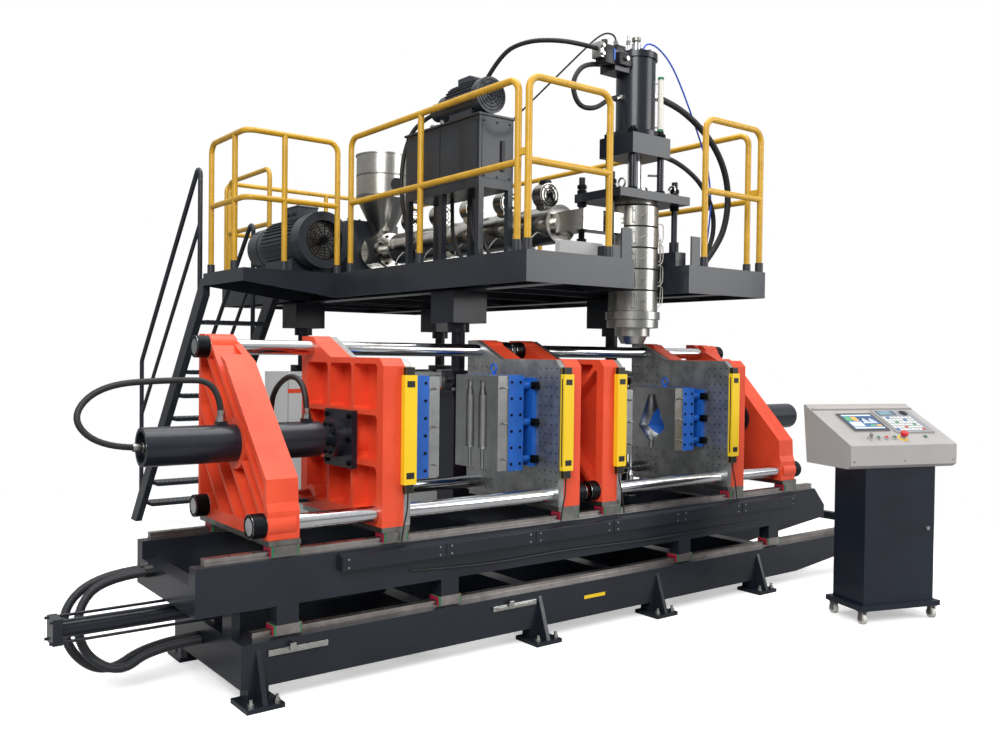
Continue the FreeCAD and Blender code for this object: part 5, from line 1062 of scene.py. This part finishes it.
# ------------------------------------------------------------------ extruder line
@dataclass
class ExtruderLine:
    """End rings, seams, clamps and blower guards of the barrel, and the motor's fins and vents."""

    x: float = 0.300
    z: float = 2.460
    zones: tuple = (0.395, 0.830, 1.240, 1.650, 2.060)
    motor_x: float = -0.420
    motor_z: float = 2.470

    def build(self) -> None:
        """Build the parts of the barrel, motor, gear case and hopper."""
        self.covers()
        self.wires()
        self.blowers()
        self.motor()
        self.gears()

    def covers(self) -> None:
        """Build the end rings, seam strips and clamps of the heater covers, and the flange's screws."""
        rings, seams, lugs, flange = (Workpiece() for _ in range(4))
        for middle in self.zones:
            for y in (middle - 0.1652, middle + 0.1572):
                rings.lathe([(0.112, 0.0), (0.1275, 0.0), (0.1275, 0.008), (0.112, 0.008)],
                            (self.x, y, self.z), Axis.Y, 48)
            for sign in EDGES:
                seams.slab((self.x + sign * 0.1235, middle, self.z), (0.004, 0.156, 0.008), 0.001)
                for y in (middle - 0.10, middle + 0.10):
                    lugs.slab((self.x + sign * 0.1300, y, self.z), (0.006, 0.014, 0.016), 0.002)
                    lugs.bolt((self.x + sign * 0.136, y, self.z), (sign, 0, 0), 0.006, 0.005)
        flange.bolt_ring((self.x, 2.380, self.z), FRONT, 0.120, 8, 0.011, 0.012)
        rings.finish("barrel_cover_rings", STAINLESS)
        seams.finish("barrel_cover_seams", STEEL, smooth=False)
        lugs.finish("barrel_cover_clamps", BRIGHT, smooth=False)
        flange.finish("feed_flange_screws", BLACK_STEEL)

    def wires(self) -> None:
        """Lay a silk-sleeved wire from each heater cover down to the deck."""
        for k, middle in enumerate(self.zones):
            hose(f"barrel_wire_{k}", [
                (self.x - across, middle + along, z) for across, along, z in (
                    (0.110, -0.05, self.z - 0.055), (0.150, -0.03, self.z - 0.09),
                    (0.150, 0.02, self.z - 0.17), (0.120, 0.03, DECK_TOP))], 0.004, WHITE_WIRE)

    def blowers(self) -> None:
        """Build the blowers' intake guards with their hubs, and the terminal boxes."""
        guards, boxes = Workpiece(), Workpiece()
        high = self.z + 0.205
        for middle in self.zones:
            for out in EDGES:
                face = middle + out * 0.0455
                front = (self.x, face + out * 0.003, high)
                for ring in (0.072, 0.048, 0.024):
                    guards.torus(front, Axis.Y, ring, 0.0022)
                guards.spokes(front, 0.074, (0.8, 0.8 + math.pi / 2), 0.0022)
                guards.stub((self.x, face, high), (0, out * 0.006, 0), 0.015, 20)
            boxes.slab((self.x, middle, self.z + 0.295), (0.028, 0.032, 0.013), 0.004)
        guards.finish("blower_guards", BLACK_STEEL)
        boxes.finish("blower_boxes", BLACK_PLASTIC, smooth=False)

    def motor(self) -> None:
        """Build the cooling fins, the cowl's grille, the terminal box lid and the lifting eye."""
        fins, grille, box = (Workpiece() for _ in range(3))
        x, z = self.motor_x, self.motor_z
        fins.fins((x, 2.640, z), 0.206, 40, (0.009, 0.285, 0.0022), ((1.05, 2.10), (4.20, 5.25)))
        for ring in (0.150, 0.128, 0.106, 0.084, 0.062, 0.040):
            grille.torus((x, 2.1815, z), Axis.Y, ring, 0.0032)
        grille.spokes((x, 2.1835, z), 0.156, (math.pi * k / 6 for k in range(6)), 0.0034)
        grille.bar((x, 2.176, z), (x, 2.186, z), 0.03)
        box.slab((x, 2.590, self.z + 0.2971), (0.096, 0.116, 0.0069), 0.005)
        for across in (-0.08, 0.08):
            for y in (2.49, 2.69):
                box.bolt((x + across, y, self.z + 0.304), UP, 0.006, 0.004)
        box.torus((x, 2.820, z + 0.222), Axis.X, 0.026, 0.007)
        for y in (2.540, 2.640):
            box.stub((x - 0.0895, y, self.z + 0.240), (-0.0225, 0, 0), 0.016, 8)
        fins.finish("motor_fins", MOTOR, smooth=False)
        grille.finish("motor_grille", BLACK_STEEL)
        box.finish("motor_terminal_lid", MOTOR)

    def gears(self) -> None:
        """Build the gear case's lid screws, sight glass and guard screws, and the hopper's bands."""
        screws, ring, glass = (Workpiece() for _ in range(3))
        for x in (0.080, 0.190, 0.300, 0.410, 0.520):
            for y in (2.735, 3.025):
                screws.bolt((x, y, 2.735), UP, 0.010, 0.010)
        screws.bolt_ring((self.x, 2.6495, self.z), FRONT, 0.104, 8, 0.009, 0.0)
        for x in (-0.54, -0.24, 0.0, 0.24, 0.42):
            for z in (2.315, 2.625):
                screws.bolt((x, 3.260, z), BACK, 0.008, 0.008)
        for z in (2.905, 3.08):
            ring.lathe([(0.2248, 0.0), (0.2275, 0.003), (0.2275, 0.015), (0.2248, 0.018)],
                       (self.x, 2.530, z), steps=56)
        glass.bar((0.0602, 2.88, 2.40), (0.050, 2.88, 2.40), 0.022)
        glass.bar((self.x, 2.3048, 3.00), (self.x, 2.2985, 3.00), 0.055, 32)
        screws.finish("gear_case_screws", BLACK_STEEL)
        ring.finish("hopper_bands", STEEL)
        glass.finish("gear_and_hopper_sights", SHADE_AND_DARK)


# ------------------------------------------------------------------ oil tank
@dataclass
class Tank:
    """Doors, handles, gauge, pump motor fins and pipes of the oil tank."""

    left: float = -0.190
    right: float = 0.090
    motor_x: float = -0.050
    motor_z: float = 3.310

    def build(self) -> None:
        """Build the tank's outer parts."""
        self.doors()
        self.pump()
        self.gauge()
        self.hoses()

    def gauge(self) -> None:
        """Build the oil gauge on the tank's front."""
        gauge = Workpiece().block((-0.02, 0.4645, 2.80), (0.010, 0.4766, 3.00), 0.004)
        gauge.finish("tank_gauge", BLACK_PLASTIC, smooth=False)

    def doors(self) -> None:
        """Build the raised door sheets with screws and handles, and the pump motor's grille."""
        doors, handle = Workpiece(), Workpiece()
        for y in (0.500, 0.935):
            for x, sign in ((self.right, 1), (self.left, -1)):
                doors.block((x - 0.0002 * sign, y, 2.745), (x + 0.004 * sign, y + 0.415, 3.125), 0.001)
        doors.block((-0.170, 0.4765, 2.745), (0.070, 0.4802, 3.125), 0.001)
        for x in (-0.155, -0.05, 0.055):
            for z in (2.757, 3.113):
                handle.bolt((x, 0.4765, z), FRONT, 0.006, 0.004)
        for y in (0.86, 1.30):
            for z in (2.90, 3.00):
                handle.bar((0.0935, y, z), (0.125, y, z), 0.006, 14)
            handle.bar((0.122, y, 2.89), (0.122, y, 3.01), 0.0075, 16)
        for ring in (0.10, 0.078, 0.056, 0.034):
            handle.torus((self.motor_x, 0.5445, self.motor_z), Axis.Y, ring, 0.0025)
        handle.spokes((self.motor_x, 0.5455, self.motor_z), 0.105, (k * math.pi / 4 for k in range(4)),
                      0.0025)
        doors.finish("tank_doors", PLATFORM, smooth=False)
        handle.finish("tank_handles_and_grille", BLACK_STEEL)

    def pump(self) -> None:
        """Build the pump motor's fins and terminal box, and the pipes on the lid."""
        fins, pipes = Workpiece(), Workpiece()
        fins.fins((self.motor_x, 0.770, self.motor_z), 0.119, 30, (0.006, 0.150, 0.0016),
                  ((4.15, 5.3), (1.2, 1.95)))
        fins.block((-0.115, 0.70, 3.418), (0.015, 0.84, 3.462), 0.006)
        for start, stop, radius, sides in (((-0.05, 1.10, 3.245), (-0.05, 1.10, 3.161), 0.026, 24),
                                           ((-0.05, 1.178, 3.31), (-0.05, 1.215, 3.31), 0.022, 8),
                                           ((0.0, 1.27, 3.221), (0.0, 1.27, 3.245), 0.044, 28)):
            pipes.bar(start, stop, radius, sides)
        fins.finish("pump_motor_fins", MOTOR, smooth=False)
        pipes.finish("pump_pipes", BRIGHT)

    def hoses(self) -> None:
        """Lay the hoses from the tank and the pump down through the deck."""
        for index, (x, y) in enumerate(((-0.10, 0.62), (-0.02, 0.80), (0.03, 1.10))):
            hose(f"tank_hose_{index}", [(x + across, y - back, z) for across, back, z in (
                (0, 0, 2.686), (0, 0, 2.56), (-0.03, 0.06, 2.40), (-0.01, 0.14, 2.27),
                (0.02, 0.15, DECK_TOP))], 0.014, RUBBER)
        hose("pump_hose", [(-0.05, 1.213, 3.31), (-0.05, 1.30, 3.31), (-0.12, 1.46, 3.20),
                           (-0.18, 1.48, 2.85), (-0.12, 1.45, 2.45), (-0.08, 1.42, DECK_TOP)], 0.016, RUBBER)


# ------------------------------------------------------------------ operator desk
@dataclass
class Desk:
    """Screen, keys, button collars, vents and seams of the operator desk, in the desk's own frame."""

    slope: float = math.atan2(212, 425)
    turned: float = math.radians(-18.8)

    def __post_init__(self) -> None:
        """Find the desk's frame, and the slope's: X across, Y up along it, Z square off it."""
        self.place = (Matrix.Translation(Vector((1.395, -1.321, 0.0)) + CENTRE)
                      @ Matrix.Rotation(self.turned, 4, "Z"))
        self.incline = (self.place @ Matrix.Translation((0.0, -0.030, 1.080))
                        @ Matrix.Rotation(self.slope, 4, "X"))

    def tiles(self, name: str, finish: Finish, spots: Iterable[Point], heights: tuple[float, float],
              bevel: float = 0.0, smooth: bool = False) -> None:
        """Lay flat tiles of one finish on the slope.

        Args:
            name: the piece's name.
            finish: its surface.
            spots: left, low, right and high edge of each tile.
            heights: their underside and their face, off the slope.
            bevel: width of their eased edges.
            smooth: whether they are shaded smooth.
        """
        work = Workpiece(NOWHERE)
        bottom, top = heights
        for left, low, right, high in spots:
            work.block((left, low, bottom), (right, high, top), bevel)
        work.finish(name, finish, "base", smooth, self.incline)

    def build(self) -> None:
        """Build every part of the desk."""
        self.screen()
        self.keys()
        self.buttons()
        self.cabinet()

    def screen(self) -> None:
        """Build the bezel and the glass with plain blocks of colour for a status page."""
        self.tiles("desk_screen_bezel", Moulded("screen_bezel_grey", "3A3D42", 0.4),
                   [(0.003, 0.158, 0.272, 0.367)], (0.0075, 0.0105), 0.002)
        self.tiles("desk_screen_glass", Moulded("screen_page_blue", "39608F", 0.16, glow=0.25),
                   [(0.022, 0.176, 0.253, 0.349)], (0.0103, 0.0112))
        for code, name, spots in (
                ("C9D3DB", "pale", ((0.026, 0.331, 0.249, 0.345), (0.026, 0.180, 0.249, 0.196),
                                    (0.030, 0.205, 0.120, 0.262))),
                ("4FA36B", "green", ((0.030, 0.272, 0.070, 0.322), (0.165, 0.205, 0.200, 0.225))),
                ("D9A441", "amber", ((0.078, 0.272, 0.118, 0.322), (0.208, 0.205, 0.245, 0.225))),
                ("24476F", "deep", ((0.128, 0.236, 0.245, 0.322),))):
            self.tiles(f"desk_screen_{name}", Moulded(f"screen_tile_{name}", code, 0.18, glow=0.25), spots,
                       (0.0111, 0.0115))
        bars = [(0.133 + k * 0.009, 0.240, 0.138 + k * 0.009, 0.252 + 0.05 * abs(math.sin(k * 0.55)))
                for k in range(12)]
        self.tiles("desk_screen_bars", Moulded("screen_bar_white", "DDE6EA", 0.18, glow=0.25), bars,
                   (0.0114, 0.0117))

    def keys(self) -> None:
        """Build the keypad's membrane, its rows of keys, the small display and the jog pad."""
        self.tiles("desk_keypad_sheet", Moulded("keypad_sheet", "8E9297", 0.4),
                   [(0.306, 0.136, 0.584, 0.394)], (0.0115, 0.0126), 0.0004)
        groups = {"E2E3E2": [], "3F6FB0": [], "C84B3C": [], "4A9A62": []}
        codes = list(groups)
        for row in range(6):
            for column in range(8):
                x, y = 0.318 + column * 0.0285, 0.150 + row * 0.0285
                code = codes[0] if (row * 5 + column * 3) % 7 else codes[1 + (row + column) % 3]
                groups[code].append((x, y, x + 0.0215, y + 0.0195))
        for index, (code, spots) in enumerate(groups.items()):
            self.tiles(f"desk_keys_{index}", Moulded(f"key_cap_{index}", code, 0.4), spots,
                       (0.0124, 0.0142), 0.0015, True)
        self.tiles("desk_small_display", Moulded("small_display", "24303A", 0.2),
                   [(0.318, 0.332, 0.452, 0.384)], (0.0124, 0.0140), 0.001)
        rows = [(0.325, 0.340 + k * 0.0085, 0.445 - 0.015 * (k % 3), 0.344 + k * 0.0085) for k in range(5)]
        self.tiles("desk_small_display_rows", Moulded("display_rows", "9CC3D6", 0.3, glow=0.2), rows,
                   (0.0139, 0.0142))
        pad = Workpiece(NOWHERE).bar((0.520, 0.356, 0.0120), (0.520, 0.356, 0.0165), 0.028, 40)
        pad.bar((0.520, 0.356, 0.0164), (0.520, 0.356, 0.0185), 0.011)
        pad.finish("desk_jog_pad", BLACK_PLASTIC, "base", place=self.incline)

    def buttons(self) -> None:
        """Build the collars and caps of the push buttons and the yellow disc under the stop."""
        collars, greens, reds, disc = (Workpiece(NOWHERE) for _ in range(4))
        for x, cap in ((0.115, greens), (0.175, reds), (0.235, greens)):
            collars.lathe([(0.0121, 0.0), (0.0150, 0.0), (0.0150, 0.006), (0.0138, 0.0075), (0.0121, 0.0075)],
                          (x, 0.075, 0), steps=32)
            cap.bar((x, 0.075, 0.0138), (x, 0.075, 0.0165), 0.0105, 28)
        collars.lathe([(0.0141, 0.0), (0.0165, 0.0), (0.0165, 0.006), (0.0150, 0.0078), (0.0141, 0.0078)],
                      (0.055, 0.075, 0), steps=32)
        collars.lathe([(0.0100, 0.0), (0.0135, 0.0), (0.0135, 0.006), (0.0100, 0.007)], (0.480, 0.085, 0),
                      steps=32)
        greens.bar((0.480, 0.085, -0.001), (0.480, 0.085, 0.010), 0.0102, 28)
        disc.lathe([(0.0171, 0.0), (0.0310, 0.0), (0.0310, 0.0016), (0.0171, 0.0022)], (0.300, 0.075, 0),
                   steps=48)
        for work, name, finish in ((collars, "desk_button_collars", BRIGHT),
                                   (greens, "desk_green_caps", PIN_GREEN), (reds, "desk_red_cap", RED),
                                   (disc, "desk_stop_disc", Moulded("stop_disc_yellow", "E9C21F", 0.4))):
            work.finish(name, finish, "base", place=self.incline)

    def cabinet(self) -> None:
        """Build the cabinet's slit, door seam, dark vent slits of painted shade, lock and castor forks, and
        the screws of the case.
        """
        dark, lock, screws, forks = (Workpiece(NOWHERE) for _ in range(4))
        for left, low, right, high in ((0.020, 0.905, 0.500, 0.9095), (0.020, 0.150, 0.0215, 0.905),
                                       (0.4985, 0.150, 0.500, 0.905), (0.020, 0.1485, 0.500, 0.150)):
            dark.block((left, -0.0004, low), (right, 0.0006, high))
        # dark slits on both sides are painted shade in the vents' openings; the seams above are dark joints
        for k in range(8):
            for near, far in ((-0.0005, 0.0006), (0.5194, 0.5205)):
                dark.block((near, 0.06 + 0.02 * k, 0.25), (far, 0.068 + 0.02 * k, 0.42))
        lock.bar((0.470, 0.0002, 0.560), (0.470, -0.007, 0.560), 0.013)
        for x in (-0.110, 0.260, 0.630):
            screws.bolt((x, -0.0302, 0.985), FRONT, 0.005, 0.0025)
        for x in (0.0, 0.520):
            for y in (0.010, 0.270):
                for side in EDGES:
                    forks.slab((x + side * 0.0156, y, 0.04985), (0.0048, 0.0145, 0.02535), 0.001)
                forks.slab((x, y, 0.0784), (0.0244, 0.0244, 0.0036), 0.001)
        dark.finish("desk_cabinet_seams", SHADE_AND_DARK, "base", False, self.place)
        lock.finish("desk_cabinet_lock", BRIGHT, "base", place=self.place)
        screws.finish("desk_case_screws", BRIGHT, "base", place=self.place)
        forks.finish("desk_castor_forks", STEEL, "base", place=self.place)


# ------------------------------------------------------------------ platform and cabinet
@dataclass
class Platform:
    """Railing tie plates, deck details, jack threads and the rear cabinet's door."""

    legs: tuple = ((-0.150, 0.750), (1.280, 0.750), (-0.150, 3.100), (1.280, 3.100))
    rail: float = 2.720
    door: float = 1.900
    rise: float = 0.205
    stair_front: float = 4.665

    def build(self) -> None:
        """Build the parts of the platform and the cabinet below it."""
        self.ties()
        self.jacks()
        self.channel()
        self.cabinet()
        self.treads()

    def ties(self) -> None:
        """Build the plates that tie neighbouring railing posts together."""
        ties = Workpiece()
        for left, right, front, back in ((-0.375, -0.355, -0.250, -0.130), (1.755, 1.779, -0.250, -0.115),
                                         (-0.375, -0.355, 4.250, 4.340), (1.755, 1.779, 4.250, 4.340)):
            ties.block((left, front, self.rail + 0.035), (right, back, self.rail + 0.075), 0.001)
        ties.finish("railing_tie_plates", YELLOW, smooth=False)

    def jacks(self) -> None:
        """Build the columns' screws and the threads of the jacks."""
        screws, thread = Workpiece(), Workpiece()
        for x, y in self.legs:
            for across in (-0.105, 0.105):
                for along in (-0.105, 0.105):
                    screws.stub((x + across, y + along, 1.3598), (0, 0, 0.0182), 0.013, 6)
                    screws.stub((x + across * 1.3, y + along * 1.3, 0.0198), (0, 0, 0.0182), 0.016, 6)
            for k in range(30):
                thread.lathe([(0.0448, 0.0), (0.0462, 0.0012), (0.0462, 0.0026), (0.0448, 0.0038)],
                             (x, y, 1.506 + k * 0.0076), steps=20)
        screws.finish("column_screws", BRIGHT, "base", False)
        thread.finish("jack_threads", BLACK_STEEL)

    def channel(self) -> None:
        """Build the open wiring channel on the deck beside the head."""
        channel = Workpiece().block((0.070, -0.020, 2.2202), (0.440, 0.020, 2.224), 0.0005)
        for y in (-0.020, 0.017):
            channel.block((0.070, y, 2.224), (0.440, y + 0.003, 2.320), 0.0005)
        for x in (0.080, 0.395):
            channel.block((x, -0.016, 2.2045), (x + 0.030, 0.016, 2.2205))
        channel.finish("wiring_channel", GREY_CABINET, smooth=False)

    def cabinet(self) -> None:
        """Build the door seams, the orange band and the handles of the cabinet behind the machine."""
        seams, band, lock = (Workpiece() for _ in range(3))
        for x in (-0.845, -0.160, 0.545):
            seams.slab((x, self.door, 0.775), (0.0015, 0.0006, 0.645))
        for z in (0.130, 1.420):
            seams.slab((-0.150, self.door, z), (0.695, 0.0006, 0.0015))
        band.block((-0.849, 1.8988, 1.300), (0.549, 1.9004, 1.330))
        for x in (-0.200, -0.145):
            lock.block((x, 1.888, 0.720), (x + 0.024, 1.9002, 0.860), 0.003)
        seams.finish("rear_cabinet_seams", SHADE_AND_DARK, "base", False)
        band.finish("rear_cabinet_band", ORANGE, "base", False)
        lock.finish("rear_cabinet_handles", BLACK_PLASTIC, "base", False)

    def treads(self) -> None:
        """Build the raised lozenges of the stair's nine treads."""
        treads = Workpiece()
        for step in range(1, 10):
            z = self.rise * step
            for row in range(4):
                y = self.stair_front - z * 0.82 - 0.205 + row * 0.052
                for column in range(12):
                    turn = Matrix.Rotation(0.8 if (row + column) % 2 else -0.8, 4, "Z")
                    x = -1.055 + column * 0.043 + row % 2 * 0.02
                    treads.slab((x, y, z + 0.0006), (0.012, 0.003, 0.0008), turn=turn)
        treads.finish("stair_tread_lozenges", PLATFORM, smooth=False)


# ------------------------------------------------------------------ camera, light and floor
@dataclass
class Studio:
    """A bright room with soft lamps, a pale floor that keeps the shadow and the camera."""

    spot: tuple = (-4.071, -6.030, 1.600)
    lens: float = 33.886
    yaw: float = math.radians(37.543)
    pitch: float = math.radians(-1.018)
    roll: float = math.radians(0.680)
    white: tuple = (1.0, 1.0, 1.0, 1.0)

    def build(self) -> None:
        """Set up the camera, the lamps, the room and the floor."""
        self.camera()
        self.lamps()
        self.room()
        self.floor()

    def camera(self) -> None:
        """Place the camera as the photograph was taken."""
        north, east = polar(1.0, self.yaw)
        level, rise = polar(1.0, self.pitch)
        ahead = Vector((east * level, north * level, rise))
        across = Vector((north, -east, 0.0))
        above = across.cross(ahead)
        right = across * math.cos(self.roll) + above * math.sin(self.roll)
        upward = above * math.cos(self.roll) - across * math.sin(self.roll)
        data = bpy.data.cameras.new("camera")
        data.lens, data.sensor_width, data.clip_end = self.lens, 36.0, 200.0
        made = bpy.data.objects.new("camera", data)
        bpy.context.collection.objects.link(made)
        turn = Matrix((right, upward, -ahead)).transposed().to_4x4()
        made.matrix_world = Matrix.Translation(self.spot) @ turn
        bpy.context.scene.camera = made

    def lamps(self) -> None:
        """Hang a key lamp, a fill lamp and a top lamp."""
        target = Vector((0.0, 0.0, 1.3))
        for name, spot, size, power in (("key_lamp", (-7.0, -7.5, 7.0), 5.0, 740.0),
                                        ("fill_lamp", (6.5, -8.5, 4.5), 5.0, 380.0),
                                        ("top_lamp", (0.5, -0.5, 9.0), 7.0, 540.0)):
            data = bpy.data.lights.new(name, "AREA")
            data.size, data.energy = size, power
            lamp = bpy.data.objects.new(name, data)
            bpy.context.collection.objects.link(lamp)
            lamp.location = spot
            lamp.rotation_mode = "QUATERNION"
            lamp.rotation_quaternion = (target - Vector(spot)).to_track_quat("-Z", "Y")
            lamp.visible_camera = False

    def room(self) -> None:
        """Make the white room, darker near the horizon where polished metal mirrors it."""
        scene = bpy.context.scene
        scene.view_settings.view_transform = "Standard"
        scene.world = bpy.data.worlds.new("room")
        scene.world.use_nodes = True
        tree = scene.world.node_tree
        tree.nodes.clear()
        path = add(tree, "LightPath")
        place = add(tree, "TexCoord").outputs["Generated"]
        sky = spread(tree, add(tree, "SeparateXYZ", {"Vector": place}).outputs[2], -0.1, 0.9, 0.14, 1.0)
        soft, mirror, white = (add(tree, "Background", {"Color": self.white, "Strength": strength}).outputs[0]
                               for strength in (0.42, sky, 1.0))
        shiny = add(tree, "MixShader", {0: path.outputs["Is Glossy Ray"], 1: soft, 2: mirror})
        clear = add(tree, "Math", {0: path.outputs["Is Camera Ray"], 1: path.outputs["Is Transmission Ray"]},
                    operation="MAXIMUM")
        seen = add(tree, "MixShader", {0: clear.outputs[0], 1: shiny.outputs[0], 2: white})
        add(tree, "OutputWorld", {"Surface": seen.outputs[0]})

    def floor(self) -> None:
        """Lay a pale floor that shows white where no shadow falls and fades out far away."""
        grid = bmesh.new()
        bmesh.ops.create_grid(grid, x_segments=1, y_segments=1, size=60.0)
        data = bpy.data.meshes.new("floor")
        grid.to_mesh(data)
        grid.free()
        floor = bpy.data.objects.new("floor", data)
        bpy.context.collection.objects.link(floor)
        made = bpy.data.materials.new("pale_floor")
        made.use_nodes = True
        tree = made.node_tree
        tree.nodes.clear()
        path = add(tree, "LightPath")
        parts = add(tree, "SeparateXYZ", {"Vector": add(tree, "TexCoord").outputs["Object"]}).outputs
        aside, behind = (add(tree, "Math", {0: parts[axis]}, operation="ABSOLUTE") for axis in (0, 1))
        far = add(tree, "Math", {0: aside.outputs[0], 1: behind.outputs[0]}, operation="MAXIMUM")
        fade = spread(tree, far.outputs[0], 3.3, 5.2, interpolation_type="SMOOTHSTEP")
        lift = spread(tree, parts[1], -2.5, 3.0, 0.42, 0.66)
        matt, dull = (add(tree, "BsdfDiffuse", {"Color": (grey, grey, grey, 1.0)}).outputs[0]
                      for grey in (0.92, 0.4))
        glow, bright = (add(tree, "Emission", {"Color": self.white, "Strength": strength}).outputs[0]
                        for strength in (lift, 1.0))
        lit = add(tree, "AddShader", {0: matt, 1: glow})
        shown = add(tree, "MixShader", {0: fade, 1: lit.outputs[0], 2: bright})
        pick = add(tree, "MixShader", {0: path.outputs["Is Camera Ray"], 1: dull, 2: shown.outputs[0]})
        add(tree, "OutputMaterial", {"Surface": pick.outputs[0]})
        data.materials.append(made)


def main() -> None:
    """Dress the CAD nodes and build every sub-assembly in order."""
    logging.basicConfig(level=logging.INFO, format="%(name)s: %(message)s")
    dress(node_finishes())
    for side in Side:
        Station(side).build()
    for assembly in (Hoses(), Running(), Head(), ExtruderLine(), Tank(), Desk(), Platform(), Studio()):
        assembly.build()
        LOG.info("%s built", type(assembly).__name__)


if __name__ == "__main__":
    main()
